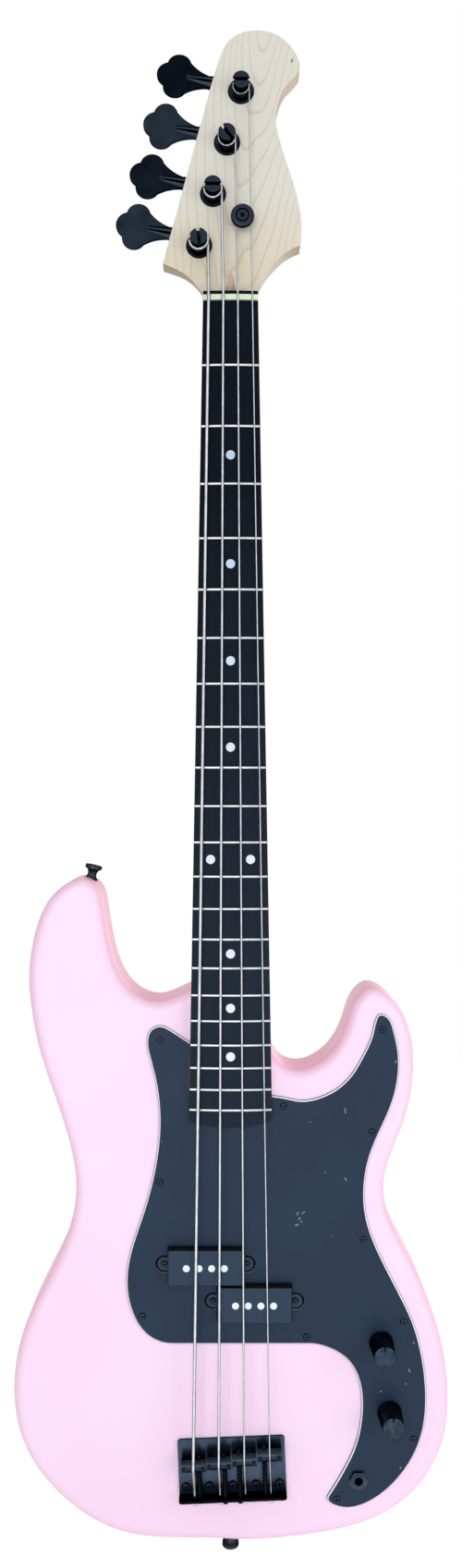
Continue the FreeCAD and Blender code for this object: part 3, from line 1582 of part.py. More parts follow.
def string_tree():
    """Return the round string tree with its screw."""
    x, z = tree_place()
    top = head_face_y - tree_stem_length - tree_flange_thickness
    stem = drill(x, z, head_face_y - tree_stem_length, head_face_y, tree_stem_radius)
    flange = drill(x, z, top, head_face_y - tree_stem_length, tree_radius)
    rim = [edge for edge in flange.Edges if edge.BoundBox.YMax < top + tree_edge_round]
    flange = flange.makeFillet(tree_edge_round, rim)
    hole = drill(x, z, top, head_face_y, tree_screw_radius + seat_clearance)
    floor = top + tree_recess_depth
    recess = drill(x, z, top, floor, tree_recess_radius)
    holder = joined([stem, flange]).cut([recess, hole])
    depth = tree_screw_depth + head_face_y - floor
    head = Part.makeCylinder(tree_screw_head_radius, tree_screw_head_height)
    shank = Part.makeCylinder(tree_screw_radius, depth, Vector(0, 0, -depth))
    socket = hexagon(tree_screw_socket_radius, tree_screw_head_height)
    socket.translate(Vector(0, 0, tree_screw_head_height * (1 - cross_depth_share)))
    shape = joined([head, shank]).cut(socket)
    return Part.makeCompound([holder] + front_screws(shape, [(x, z)], floor))


def tuner_ferrule():
    """Return the ring around a post on the headstock's front."""
    front = -headstock_thickness
    flange = Part.makeCone(
        ferrule_radius,
        ferrule_radius - ferrule_thickness / 2,
        ferrule_thickness,
        Vector(0, 0, front),
        Vector(0, 0, -1),
    )
    ring_z = front - ferrule_thickness
    ring = Part.makeCylinder(ferrule_ring_radius, ferrule_ring_height, Vector(0, 0, ring_z), Vector(0, 0, -1))
    sleeve = Part.makeCylinder(ferrule_sleeve_radius, ferrule_sleeve_length, Vector(0, 0, front))
    bore_start = Vector(0, 0, -2 * headstock_thickness)
    bore = Part.makeCylinder(post_radius + turning_clearance, 2 * headstock_thickness, bore_start)
    return joined([flange, ring, sleeve]).cut(bore)


def post_lean():
    """Return how far a post narrows at its waist."""
    return post_radius - post_waist_radius


def tuner_post(number):
    """Return a slotted string post with the stub that carries the worm wheel."""
    top = -post_top
    waist_back = top + post_cap_length + post_waist_length
    cap_back = top + post_cap_length
    lean = post_lean()
    points = [
        Vector(0, 0, top),
        Vector(post_radius - post_cap_round, 0, top),
        Vector(post_radius, 0, top + post_cap_round),
        Vector(post_radius, 0, cap_back - lean),
        Vector(post_waist_radius, 0, cap_back),
        Vector(post_waist_radius, 0, waist_back - lean),
        Vector(post_radius, 0, waist_back),
        Vector(post_radius, 0, -seat_clearance),
        Vector(post_stub_radius, 0, -seat_clearance),
        Vector(post_stub_radius, 0, wheel_back() + seat_clearance),
        Vector(rivet_radius, 0, wheel_back() + seat_clearance),
        Vector(rivet_radius - rivet_height / 2, 0, wheel_back() + rivet_height),
        Vector(0, 0, wheel_back() + rivet_height),
    ]
    points.append(points[0])
    solid = Part.Face(Part.makePolygon(points)).revolve(Vector(0, 0, 0), Vector(0, 0, 1), 360)
    half = post_slot_width / 2
    slot = block(-cut_margin, cut_margin, -half, half, top, top + post_slot_depth)
    slot.rotate(Vector(0, 0, 0), Vector(0, 0, 1), post_slot_turns[number])
    hole = Part.makeCylinder(half, post_slot_depth * 2, Vector(0, 0, top))
    return solid.cut([slot, hole])


def wheel_back():
    """Return the back of a worm wheel above its tuner's plate."""
    return worm_height + wheel_width / 2


def worm_wheel():
    """Return a worm wheel with slanting teeth, one gap of which faces the worm."""
    outer = wheel_pitch_radius + tooth_addendum
    front = worm_height - wheel_width / 2
    disc = Part.makeCylinder(outer, wheel_width, Vector(0, 0, front))
    hub_start = tuner_plate_thickness + turning_clearance
    hub = Part.makeCylinder(wheel_hub_radius, front - hub_start, Vector(0, 0, hub_start))
    blank = joined([disc, hub])
    blank = blank.cut(Part.makeCylinder(post_stub_radius + seat_clearance, 2 * wheel_back()))
    slope = math.tan(math.radians(tooth_flank))
    half_pitch_gap = wheel_pitch / 4 + tooth_backlash / 2
    root = wheel_pitch_radius - tooth_dedendum
    tip = outer + tooth_addendum
    half_root = half_pitch_gap - tooth_dedendum * slope
    half_tip = half_pitch_gap + 2 * tooth_addendum * slope
    lead = wheel_pitch / (2 * math.pi * worm_pitch_radius)
    shift = lead * wheel_width
    start_z = worm_height - wheel_width
    corners = [
        Vector(shift - half_root, root, start_z), Vector(shift + half_root, root, start_z),
        Vector(shift + half_tip, tip, start_z), Vector(shift - half_tip, tip, start_z),
    ]
    corners.append(corners[0])
    gap = Part.Face(Part.makePolygon(corners)).extrude(Vector(-2 * shift, 0, 2 * wheel_width))
    gaps = []
    for number in range(worm_wheel_teeth):
        copy = gap.copy()
        copy.rotate(Vector(0, 0, 0), Vector(0, 0, 1), 360 * number / worm_wheel_teeth)
        gaps.append(copy)
    return blank.cut(gaps)


def worm():
    """Return a worm with its shaft, whose thread lies in a gap of the worm wheel."""
    slope = math.tan(math.radians(tooth_flank))
    tip = worm_pitch_radius + tooth_addendum
    sunk = worm_root_radius - turning_clearance * 2
    half_pitch_tooth = wheel_pitch / 4 - tooth_backlash / 2
    half_tip = half_pitch_tooth - tooth_addendum * slope
    half_root = half_pitch_tooth + (worm_pitch_radius - sunk) * slope
    turns = math.floor(worm_length / wheel_pitch)
    helix = Part.makeHelix(wheel_pitch, turns * wheel_pitch, worm_pitch_radius)
    corners = [
        Vector(sunk, 0, -half_root),
        Vector(tip, 0, -half_tip),
        Vector(tip, 0, half_tip),
        Vector(sunk, 0, half_root),
    ]
    corners.append(corners[0])
    thread = Part.Wire(helix.Edges).makePipeShell([Part.makePolygon(corners)], True, True)
    core = Part.makeCylinder(worm_root_radius, worm_length, Vector(0, 0, 0))
    start = (turns * wheel_pitch - worm_length) / 2
    core.translate(Vector(0, 0, start))
    thread.translate(Vector(0, 0, -turns * wheel_pitch / 2))
    core.translate(Vector(0, 0, -turns * wheel_pitch / 2))
    shaft_low = -worm_end_run
    shaft_high = key_start + key_shaft_grip
    shaft = Part.makeCylinder(worm_shaft_radius, shaft_high - shaft_low, Vector(0, 0, shaft_low))
    whole = joined([core, shaft]).fuse(thread)
    whole.rotate(Vector(0, 0, 0), Vector(0, 0, 1), worm_phase(turns))
    whole.rotate(Vector(0, 0, 0), Vector(0, 1, 0), 90)
    whole.translate(Vector(0, worm_offset, worm_height))
    return whole


def worm_phase(turns):
    """Return the turn that brings the worm's thread opposite the gap of the worm wheel."""
    return -90 - 180 * turns


def tuner_plate():
    """Return a tuner's back plate with the two tabs that hold the worm."""
    flat = rounded_plate(
        -tuner_plate_inner, tuner_plate_outer, 0, tuner_plate_thickness, -tuner_plate_high, tuner_plate_low,
        tuner_plate_corner,
    )
    flat.rotate(Vector(0, 0, 0), Vector(1, 0, 0), 90)
    pieces = [flat]
    inner = worm_length / 2 + tab_gap
    for low in (-inner - tab_thickness, inner):
        tab = block(
            low, low + tab_thickness, worm_offset - tab_half_width, worm_offset + tab_half_width,
            0, worm_height + tab_rise,
        )
        pieces.append(tab)
    solid = joined(pieces)
    hole = worm_shaft_radius + turning_clearance
    start = Vector(-tuner_plate_outer, worm_offset, worm_height)
    cuts = [Part.makeCylinder(hole, 2 * tuner_plate_outer, start, Vector(1, 0, 0))]
    stub_hole = post_stub_radius + turning_clearance
    cuts.append(Part.makeCylinder(stub_hole, cut_margin, Vector(0, 0, -cut_margin / 2)))
    for u, w in tuner_screw_places():
        start = Vector(u, w, -cut_margin / 2)
        cuts.append(Part.makeCylinder(tuner_screw_radius + seat_clearance, cut_margin, start))
    return solid.cut(cuts)


def tuner_screws():
    """Return the four screws of a tuner's plate."""
    depth = tuner_screw_depth + tuner_plate_thickness
    shape = screw(tuner_screw_head_radius, tuner_screw_head_height, tuner_screw_radius, depth)
    copies = []
    for u, w in tuner_screw_places():
        copies.append(placed(shape, Vector(u, w, tuner_plate_thickness), Vector(0, 0, 1)))
    return Part.makeCompound(copies)


def key_point(length_share, width_share, side):
    """Return a point of the key's outline in shares of its length and half width."""
    low = worm_height - key_thickness / 2
    x = key_start + length_share * key_length
    return Vector(x, worm_offset + side * width_share * key_half_width, low)


def meeting(middle_one, radius_one, middle_two, radius_two, near):
    """Return where two circles of the key's outline meet, at the meeting that is nearer to a point."""
    way = middle_two - middle_one
    distance = way.Length
    along = (distance ** 2 + radius_one ** 2 - radius_two ** 2) / (2 * distance)
    across = math.sqrt(radius_one ** 2 - along ** 2)
    way.normalize()
    foot = middle_one + way * along
    sideways = Vector(-way.y, way.x, 0) * across
    return min((foot + sideways, foot - sideways), key=near.distanceToPoint)


def round_edge(middle, start, end):
    """Return the shorter round edge about a middle between two points."""
    out = ((start - middle) + (end - middle)).normalize()
    return arc(start, middle + out * (start - middle).Length, end)


def key_outline(inset, rise):
    """Return the key's three-lobed outline, drawn in by an inset, at a rise above its back."""
    tip = key_point(1 - key_end_lobe_radius / key_length, 0, 1)
    tip_radius = key_end_lobe_radius - inset
    lobe_radius = key_lobe_radius - inset
    halves = {}
    for side in (1, -1):
        neck_end = key_point(key_neck_share, key_neck_width_share, side)
        flare_end = key_point(key_lobe_start_share, key_lobe_start_width_share, side)
        flare = arc(neck_end, key_point(key_flare_share, key_flare_width_share, side), flare_end).Curve
        hollow_radius = flare.Radius + inset
        drop = math.sqrt(hollow_radius ** 2 - (neck_end.x - flare.Center.x) ** 2)
        foot = Vector(neck_end.x, flare.Center.y - side * drop, neck_end.z)
        lobe = key_point(key_lobe_share, 1 - key_lobe_radius / key_half_width, side)
        outermost = lobe + Vector(0, side * lobe_radius, 0)
        waist = meeting(flare.Center, hollow_radius, lobe, lobe_radius, flare_end)
        cleft = meeting(lobe, lobe_radius, tip, tip_radius, outermost)
        halves[side] = (foot, waist, cleft, round_edge(flare.Center, foot, waist), round_edge(lobe, waist, cleft))
    edges = [
        line(halves[-1][0], halves[1][0]),
        halves[1][3],
        halves[1][4],
        round_edge(tip, halves[1][2], halves[-1][2]),
        halves[-1][4],
        halves[-1][3],
    ]
    outline = Part.Wire(Part.__sortEdges__(edges))
    outline.translate(Vector(0, 0, rise))
    return outline


def key_blade():
    """Return the flat part of the key with its bevelled edge."""
    steps = (
        (key_edge_bevel, 0),
        (0, key_edge_bevel),
        (0, key_thickness - key_edge_bevel),
        (key_edge_bevel, key_thickness),
    )
    return Part.makeLoft([key_outline(inset, rise) for inset, rise in steps], True, True)


def tuner_key(number):
    """Return a tuner's three-lobed key with its stem, turned as it rests on the end of the worm's shaft."""
    pieces = [key_blade()]
    start = Vector(key_start, worm_offset, worm_height)
    way = Vector(1, 0, 0)
    pieces.append(Part.makeCone(key_stem_radius, key_stem_end_radius, key_stem_length, start, way))
    collar_start = start - way * key_collar_length
    pieces.append(Part.makeCylinder(key_collar_radius, key_collar_length, collar_start, way))
    bore_start = start - way * (key_collar_length * 2)
    bore_length = key_collar_length * 2 + key_shaft_grip + seat_clearance
    bore = Part.makeCylinder(worm_shaft_radius + seat_clearance, bore_length, bore_start, way)
    shape = joined(pieces).cut([bore] + key_grooves(start, way))
    shape.rotate(start, way, key_rest_turns[number])
    return shape


def key_grooves(start, way):
    """Return the shapes that cut two grooves into the front and two into the back of the key's stem."""
    grooves = []
    height_share = math.sqrt(1 - key_groove_side_share ** 2)
    for side in (1, -1):
        for face in (1, -1):
            outward = Vector(0, side * key_groove_side_share, face * height_share)
            low = start + outward * key_stem_radius
            high = start + way * key_stem_length + outward * key_stem_end_radius
            length = (high - low).Length
            grooves.append(Part.makeCylinder(key_groove_radius, length, low, high - low))
    return grooves


def group(shapes):
    """Return several separate solids as one shape."""
    return Part.makeCompound(shapes)


def nodes():
    """Return every piece of the bass by its name."""
    strings = [string(number) for number in range(len(string_names))]
    slots = [nut_slot(number) for number in range(len(string_names))]
    dot_shapes = dots()
    blank = fretboard_blank()
    pieces = {
        "body": body(),
        "neck": neck(),
        "fretboard": fretboard(dot_shapes),
        "frets": group([fret(number) for number in range(1, fret_count + 1)]),
        "position_dots": group([shape.common(blank) for shape in dot_shapes]),
        "nut": nut(slots),
        "truss_rod": truss_rod(),
        "truss_rod_nut": truss_rod_nut(),
        "neck_plate": neck_plate(),
        "neck_screws": group(neck_screws()),
        "pickguard": pickguard(),
        "pickguard_screws": group(guard_screws()),
        "pickup_covers": group([pickup_cover(x, z) for x, z in pickup_places()]),
        "pickup_bobbins": group([bobbin(x, z) for x, z in pickup_places()]),
        "pole_pieces": group([pole for x, z in pickup_places() for pole in poles(x, z)]),
        "pickup_screws": group(pickup_screws()),
        "volume_knob": knob(volume_x, volume_z),
        "tone_knob": knob(tone_x, tone_z),
        "potentiometers": group([potentiometer(volume_x, volume_z), potentiometer(tone_x, tone_z)]),
        "control_nuts": group(control_nuts()),
        "output_jack": output_jack(),
        "wiring": group(wiring()),
        "bridge_plate": on_bridge(bridge_plate()),
        "bridge_screws": group(bridge_screws()),
        "string_tree": string_tree(),
    }
    seats = button_seats()
    pieces["strap_buttons"] = group([placed(button_profile(size), at, way) for at, way, size in seats])
    pieces["strap_button_screws"] = group([placed(button_screw(size), at, way) for at, way, size in seats])
    numbers = range(len(string_names))
    plate = tuner_plate()
    ferrule = tuner_ferrule()
    screws = tuner_screws()
    wheel = worm_wheel()
    thread = worm()
    pieces["tuner_plates"] = group([on_headstock(plate, number) for number in numbers])
    pieces["tuner_ferrules"] = group([on_headstock(ferrule, number) for number in numbers])
    pieces["tuner_screws"] = group([on_headstock(screws, number) for number in numbers])
    springs = [on_bridge(intonation_spring(number)) for number in numbers]
    pieces["intonation_springs"] = group(springs)
    for number, name in enumerate(string_names):
        pieces["string_" + name] = strings[number]
        pieces["saddle_" + name] = on_bridge(saddle(number))
        pieces["intonation_screw_" + name] = on_bridge(intonation_screw(number))
        pieces["tuner_post_" + name] = on_headstock(tuner_post(number), number)
        pieces["worm_wheel_" + name] = on_headstock(wheel, number)
        pieces["worm_" + name] = on_headstock(thread, number)
        pieces["tuner_key_" + name] = on_headstock(tuner_key(number), number)
    return pieces


for piece_name, piece_shape in nodes().items():
    piece_shape.exportStep("parts/" + piece_name + ".step")
    solids = piece_shape.Solids
    volume = sum(solid.Volume for solid in solids)
    state = "valid" if piece_shape.isValid() else "INVALID"
    print(piece_name, len(solids), "solids", round(volume), "mm3", state)

for string_number, string_name in enumerate(string_names):
    spring_gap = least_gap(spring_path(string_number), spring_wire_radius)
    winding_gap = least_gap(string_winding(string_number), string_radii[string_number])
    print(string_name, "spring gap", round(spring_gap, 2), "mm, winding gap", round(winding_gap, 2), "mm")
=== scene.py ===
"""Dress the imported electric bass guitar: finishes, springs, parted strings, studio light and camera."""

import json
import logging
import math
from abc import ABC, abstractmethod
from dataclasses import KW_ONLY, dataclass, field
from enum import Enum

import bmesh
import bpy
from mathutils import Matrix, Vector


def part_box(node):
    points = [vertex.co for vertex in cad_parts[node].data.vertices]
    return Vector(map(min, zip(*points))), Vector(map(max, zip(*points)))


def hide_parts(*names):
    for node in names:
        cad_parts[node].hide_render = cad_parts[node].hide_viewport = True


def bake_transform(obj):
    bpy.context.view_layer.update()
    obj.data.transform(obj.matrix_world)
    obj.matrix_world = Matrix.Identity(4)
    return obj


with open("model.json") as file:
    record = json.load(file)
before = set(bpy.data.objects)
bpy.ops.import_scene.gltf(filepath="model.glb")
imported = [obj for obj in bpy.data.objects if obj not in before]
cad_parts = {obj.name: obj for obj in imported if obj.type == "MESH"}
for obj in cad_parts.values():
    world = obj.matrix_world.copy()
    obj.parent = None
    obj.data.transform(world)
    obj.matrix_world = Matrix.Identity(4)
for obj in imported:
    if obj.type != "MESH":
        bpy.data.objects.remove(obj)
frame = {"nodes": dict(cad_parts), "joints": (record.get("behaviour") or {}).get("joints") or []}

Tree = bpy.types.NodeTree
Socket = bpy.types.NodeSocket
Place = tuple[float, float, float]

LOG = logging.getLogger("bass")
MM = 0.001
STRING_NAMES = ("E", "A", "D", "G")
# Most of a noise texture's values lie between these two.
NOISE_LOW, NOISE_HIGH = 0.3, 0.7
# The Mix node's sockets for colours go by number, because their names repeat.
SHARE, FROM, TO, MIXED = 0, 6, 7, 2


class Axis(Enum):
    """The object's axes: X to its treble side, Y to its back and Z up."""

    X = "X"
    Y = "Y"
    Z = "Z"


class Stretch(Enum):
    """The two stretches of a string, on either side of its saddle."""

    RUN = "run"
    TAIL = "tail"


def linear(hex_colour: str) -> tuple[float, float, float, float]:
    """Turn an sRGB hex colour into linear light.

    Args:
        hex_colour: Six hex digits with or without a leading hash.

    Returns:
        Red, green, blue and an alpha of one.
    """
    digits = hex_colour.lstrip("#")
    parts = [int(digits[at:at + 2], 16) / 255 for at in (0, 2, 4)]
    light = [part / 12.92 if part <= 0.04045 else ((part + 0.055) / 1.055) ** 2.4 for part in parts]
    return light[0], light[1], light[2], 1.0


def per_metre(size_mm: float) -> float:
    """Return how many repeats of a size in millimetres fit in a metre."""
    return 1000 / size_mm


def band_scale(pitch_mm: float) -> float:
    """Return the scale of Blender's wave texture, 20 radians per unit, for bands at a pitch in millimetres."""
    return 2 * math.pi / (20 * pitch_mm * MM)


def front_mm(node: str) -> float:
    """Return how far to the front a CAD node reaches, in millimetres."""
    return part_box(node)[0][1] / MM


def nodes_for(stem: str) -> tuple[str, ...]:
    """Return the node names of a piece that every string has."""
    return tuple(f"{stem}_{name}" for name in STRING_NAMES)


def add(tree: Tree, kind: str, inputs: dict | None = None, **settings: object) -> bpy.types.Node:
    """Add a node with its settings and links.

    Args:
        tree: The node tree that takes the node.
        kind: The node's type name.
        inputs: Values, or sockets to link from, by input name or number.
        settings: Values of the node's own properties.

    Returns:
        The new node.
    """
    made = tree.nodes.new(kind)
    for name, value in settings.items():
        setattr(made, name, value)
    for name, value in (inputs or {}).items():
        if isinstance(value, Socket):
            tree.links.new(value, made.inputs[name])
        else:
            made.inputs[name].default_value = value
    return made


def varied(tree: Tree, place: Socket, size_mm: float, low: float, high: float, detail: float = 3.0) -> Socket:
    """Return a value that wanders between two limits in soft patches.

    Args:
        tree: The material's node tree.
        place: The Object coordinates.
        size_mm: The patches' size.
        low: The lower limit.
        high: The upper limit.
        detail: How much fine detail the patches have.

    Returns:
        The value.
    """
    noise = add(tree, "ShaderNodeTexNoise", {"Vector": place, "Scale": per_metre(size_mm), "Detail": detail})
    limits = add(tree, "ShaderNodeMapRange", {
        "Value": noise.outputs["Fac"], "From Min": NOISE_LOW, "From Max": NOISE_HIGH,
        "To Min": low, "To Max": high})
    return limits.outputs["Result"]


def mottled(tree: Tree, place: Socket, size_mm: float, low: str, high: str, detail: float = 3.0) -> Socket:
    """Blend two colours in soft patches.

    Args:
        tree: The material's node tree.
        place: The Object coordinates.
        size_mm: The patches' size.
        low: One colour.
        high: The other colour.
        detail: How much fine detail the patches have.

    Returns:
        The colour.
    """
    share = varied(tree, place, size_mm, 0.0, 1.0, detail)
    mix = add(tree, "ShaderNodeMix", {SHARE: share, FROM: linear(low), TO: linear(high)}, data_type="RGBA")
    return mix.outputs[MIXED]


def facing(tree: Tree, start: float, end: float) -> Socket:
    """Return a mask by how squarely a surface faces the front or the back, from zero on a side to one.

    Args:
        tree: The material's node tree.
        start: How squarely it faces where the mask is zero.
        end: How squarely it faces where the mask is one.

    Returns:
        The mask.
    """
    normal = add(tree, "ShaderNodeTexCoord").outputs["Normal"]
    turn = add(tree, "ShaderNodeSeparateXYZ", {"Vector": normal}).outputs["Y"]
    squarely = add(tree, "ShaderNodeMath", {0: turn}, operation="ABSOLUTE")
    rise = add(tree, "ShaderNodeMapRange", {"Value": squarely.outputs[0], "From Min": start, "From Max": end})
    return rise.outputs["Result"]


def ramp(tree: Tree, place: Socket, axis: Axis, start_mm: float, end_mm: float) -> Socket:
    """Return a mask that rises evenly along an axis.

    Args:
        tree: The material's node tree.
        place: The Object coordinates.
        axis: The axis.
        start_mm: Where the mask is still zero.
        end_mm: Where it has reached one.

    Returns:
        The mask.
    """
    along = add(tree, "ShaderNodeSeparateXYZ", {"Vector": place}).outputs[axis.value]
    rise = add(tree, "ShaderNodeMapRange", {
        "Value": along, "From Min": start_mm * MM, "From Max": end_mm * MM})
    return rise.outputs["Result"]


def seen(tree: Tree) -> Socket:
    """Tell what is seen, straight or mirrored, from what only lights the object.

    Args:
        tree: The world's or the material's node tree.

    Returns:
        One for what is seen and zero for the rest.
    """
    rays = add(tree, "ShaderNodeLightPath").outputs
    mirrored = add(tree, "ShaderNodeMath", {0: rays["Is Glossy Ray"], 1: rays["Is Transmission Ray"]},
                   operation="MAXIMUM")
    either = add(tree, "ShaderNodeMath", {0: rays["Is Camera Ray"], 1: mirrored.outputs[0]},
                 operation="MAXIMUM")
    return either.outputs[0]


@dataclass(frozen=True)
class Mark:
    """A small mark on a face that looks forward: its middle, length, width and slope."""

    x_mm: float
    z_mm: float
    length_mm: float
    width_mm: float
    slope_degrees: float

    def mask(self, tree: Tree, place: Socket) -> Socket:
        """Return one inside the mark and zero outside.

        Args:
            tree: The material's node tree.
            place: The Object coordinates.

        Returns:
            The mask.
        """
        local = add(tree, "ShaderNodeMapping", {
            "Vector": place, "Location": (self.x_mm * MM, 0.0, self.z_mm * MM),
            "Rotation": (0.0, -math.radians(self.slope_degrees), 0.0),
            "Scale": (self.length_mm * MM / 2, 1.0, self.width_mm * MM / 2)}, vector_type="TEXTURE")
        flat = add(tree, "ShaderNodeVectorMath", {0: local.outputs["Vector"], 1: (1.0, 0.0, 1.0)},
                   operation="MULTIPLY")
        reach = add(tree, "ShaderNodeVectorMath", {0: flat.outputs["Vector"]}, operation="LENGTH")
        inside = add(tree, "ShaderNodeMath", {0: reach.outputs["Value"], 1: 1.0}, operation="LESS_THAN")
        return inside.outputs[0]


@dataclass(frozen=True)
class Finish(ABC):
    """A surface finish, made into one material that its pieces share.

    Its roughness wanders from a little smoother to a little rougher, over patches of the sheen's size.
    """

    name: str
    _: KW_ONLY
    roughness: float
    smoother: float = 0.05
    rougher: float = 0.05
    sheen_mm: float = 8.0

    @abstractmethod
    def sockets(self, tree: Tree, place: Socket) -> dict:
        """Return the shader's inputs.

        Args:
            tree: The material's node tree.
            place: The Object coordinates.

        Returns:
            Values or sockets by the shader's input name.
        """

    def gloss(self, tree: Tree, place: Socket) -> Socket:
        """Return the roughness, as polishing and handling leave it."""
        low, high = self.roughness - self.smoother, self.roughness + self.rougher
        return varied(tree, place, self.sheen_mm, low, high)

    def material(self) -> bpy.types.Material:
        """Return the material, made the first time it is asked for."""
        known = bpy.data.materials.get(self.name)
        if known is not None:
            return known
        made = bpy.data.materials.new(self.name)
        made.use_nodes = True
        tree = made.node_tree
        tree.nodes.clear()
        place = add(tree, "ShaderNodeTexCoord").outputs["Object"]
        shader = add(tree, "ShaderNodeBsdfPrincipled", self.sockets(tree, place))
        add(tree, "ShaderNodeOutputMaterial", {"Surface": shader.outputs["BSDF"]})
        return made

    def dress(self, *names: str) -> None:
        """Give this finish to CAD nodes.

        Args:
            names: The nodes' names.
        """
        for name in names:
            slots = frame["nodes"][name].data.materials
            slots.clear()
            slots.append(self.material())
            LOG.info("%s: %s", name, self.name)


@dataclass(frozen=True)
class SprayedLacquer(Finish):
    """Polyurethane lacquer, sprayed and buffed: soft gloss and faint orange peel, with painted shade that turns
    the rounded edges and sides a deeper pink.

    The cavity under the pickups is coloured near-black instead, as painted shade.
    """

    light: str
    deep: str
    # The deeper pink of the painted shade on the edges and sides.
    edge: str
    _: KW_ONLY
    cavity_low_mm: Place
    cavity_high_mm: Place
    cavity_shade: str = "#101114"
    smoother: float = 0.04
    rougher: float = 0.04
    sheen_mm: float = 30.0
    specular: float = 0.3
    peel_mm: float = 3.5
    peel_depth_mm: float = 0.006
    patch_mm: float = 90.0
    side_end: float = 0.2
    face_start: float = 0.995

    def sockets(self, tree: Tree, place: Socket) -> dict:
        """Return the lacquer's colour, gloss and orange peel."""
        peel = add(tree, "ShaderNodeTexNoise", {
            "Vector": place, "Scale": per_metre(self.peel_mm), "Detail": 1.0})
        relief = add(tree, "ShaderNodeBump", {
            "Height": peel.outputs["Fac"], "Strength": 1.0, "Distance": self.peel_depth_mm * MM})
        # Painted shade: surfaces that turn away from the front and back take the deeper edge pink.
        colour = add(tree, "ShaderNodeMix", {
            SHARE: facing(tree, self.face_start, self.side_end),
            FROM: mottled(tree, place, self.patch_mm, self.deep, self.light, 1.0),
            TO: linear(self.edge)}, data_type="RGBA")
        # Painted shade: the inside of the pickups' cavity is coloured near-black.
        painted = add(tree, "ShaderNodeMix", {
            SHARE: self.in_cavity(tree, place), FROM: colour.outputs[MIXED],
            TO: linear(self.cavity_shade)}, data_type="RGBA")
        return {
            "Base Color": painted.outputs[MIXED],
            "Roughness": self.gloss(tree, place),
            "Specular IOR Level": self.specular,
            "Normal": relief.outputs["Normal"],
        }

    def in_cavity(self, tree: Tree, place: Socket) -> Socket:
        """Mark the inside of the pickups' cavity.

        Args:
            tree: The material's node tree.
            place: The Object coordinates.

        Returns:
            One inside and zero elsewhere.
        """
        low, high = Vector(self.cavity_low_mm) * MM, Vector(self.cavity_high_mm) * MM
        local = add(tree, "ShaderNodeMapping", {
            "Vector": place, "Location": (low + high) / 2, "Scale": (high - low) / 2}, vector_type="TEXTURE")
        away = add(tree, "ShaderNodeVectorMath", {0: local.outputs["Vector"]}, operation="ABSOLUTE")
        sides = add(tree, "ShaderNodeSeparateXYZ", {"Vector": away.outputs["Vector"]}).outputs
        wider = add(tree, "ShaderNodeMath", {0: sides["X"], 1: sides["Y"]}, operation="MAXIMUM")
        widest = add(tree, "ShaderNodeMath", {0: wider.outputs[0], 1: sides["Z"]}, operation="MAXIMUM")
        inside = add(tree, "ShaderNodeMath", {0: widest.outputs[0], 1: 1.0}, operation="LESS_THAN")
        return inside.outputs[0]


@dataclass(frozen=True)
class Timber(Finish):
    """Sawn and sanded wood: growth rings that run out in long arches, fine fibres and short flecks.

    The rings lie round the pith of the tree. Real fibres are finer: they are drawn coarser, so that they show.
    """

    pale: str
    ring: str
    fleck: str
    _: KW_ONLY
    ring_mm: float
    ring_share: float
    fibre_mm: float
    specular: float
    sheen_mm: float = 40.0
    pith_mm: Place = (0.0, 30.0, 500.0)
    pith_lean_degrees: tuple[float, float] = (2.0, 0.0)
    trunk_stretch: float = 4.0
    ring_edge: float = 0.7
    ring_wander: float = 3.0
    wander_scale: float = 0.45
    wander_roughness: float = 0.45
    fibre_squeeze: float = 0.12
    fibre_depth_mm: float = 0.008
    fleck_start: float = 0.54
    fleck_end: float = 0.74
    fleck_share: float = 0.4

    def sockets(self, tree: Tree, place: Socket) -> dict:
        """Return the grain's colour, gloss and fibre relief."""
        lean_x, lean_y = (math.radians(angle) for angle in self.pith_lean_degrees)
        trunk = add(tree, "ShaderNodeMapping", {
            "Vector": place, "Location": Vector(self.pith_mm) * MM, "Rotation": (lean_x, lean_y, 0.0),
            "Scale": (1.0, 1.0, self.trunk_stretch)}, vector_type="TEXTURE").outputs["Vector"]
        rings = add(tree, "ShaderNodeTexWave", {
            "Vector": trunk, "Scale": band_scale(self.ring_mm), "Distortion": self.ring_wander, "Detail": 2.0,
            "Detail Scale": self.wander_scale, "Detail Roughness": self.wander_roughness},
            wave_type="RINGS", rings_direction="Z", wave_profile="SAW")
        late = add(tree, "ShaderNodeMapRange", {
            "Value": rings.outputs["Fac"], "From Min": self.ring_edge, "From Max": 1.0,
            "To Max": self.ring_share})
        drawn_out = add(tree, "ShaderNodeMapping", {"Vector": trunk, "Scale": (1.0, 1.0, self.fibre_squeeze)})
        fibres = add(tree, "ShaderNodeTexNoise", {
            "Vector": drawn_out.outputs["Vector"], "Scale": per_metre(self.fibre_mm), "Detail": 2.0})
        flecks = add(tree, "ShaderNodeMapRange", {
            "Value": fibres.outputs["Fac"], "From Min": self.fleck_start, "From Max": self.fleck_end,
            "To Max": self.fleck_share})
        relief = add(tree, "ShaderNodeBump", {
            "Height": fibres.outputs["Fac"], "Strength": 1.0, "Distance": self.fibre_depth_mm * MM})
        ringed = add(tree, "ShaderNodeMix", {
            SHARE: late.outputs["Result"], FROM: linear(self.pale), TO: linear(self.ring)}, data_type="RGBA")
        flecked = add(tree, "ShaderNodeMix", {
            SHARE: flecks.outputs["Result"], FROM: ringed.outputs[MIXED], TO: linear(self.fleck)},
            data_type="RGBA")
        return {
            "Base Color": flecked.outputs[MIXED],
            "Roughness": self.gloss(tree, place),
            "Specular IOR Level": self.specular,
            "Normal": relief.outputs["Normal"],
        }


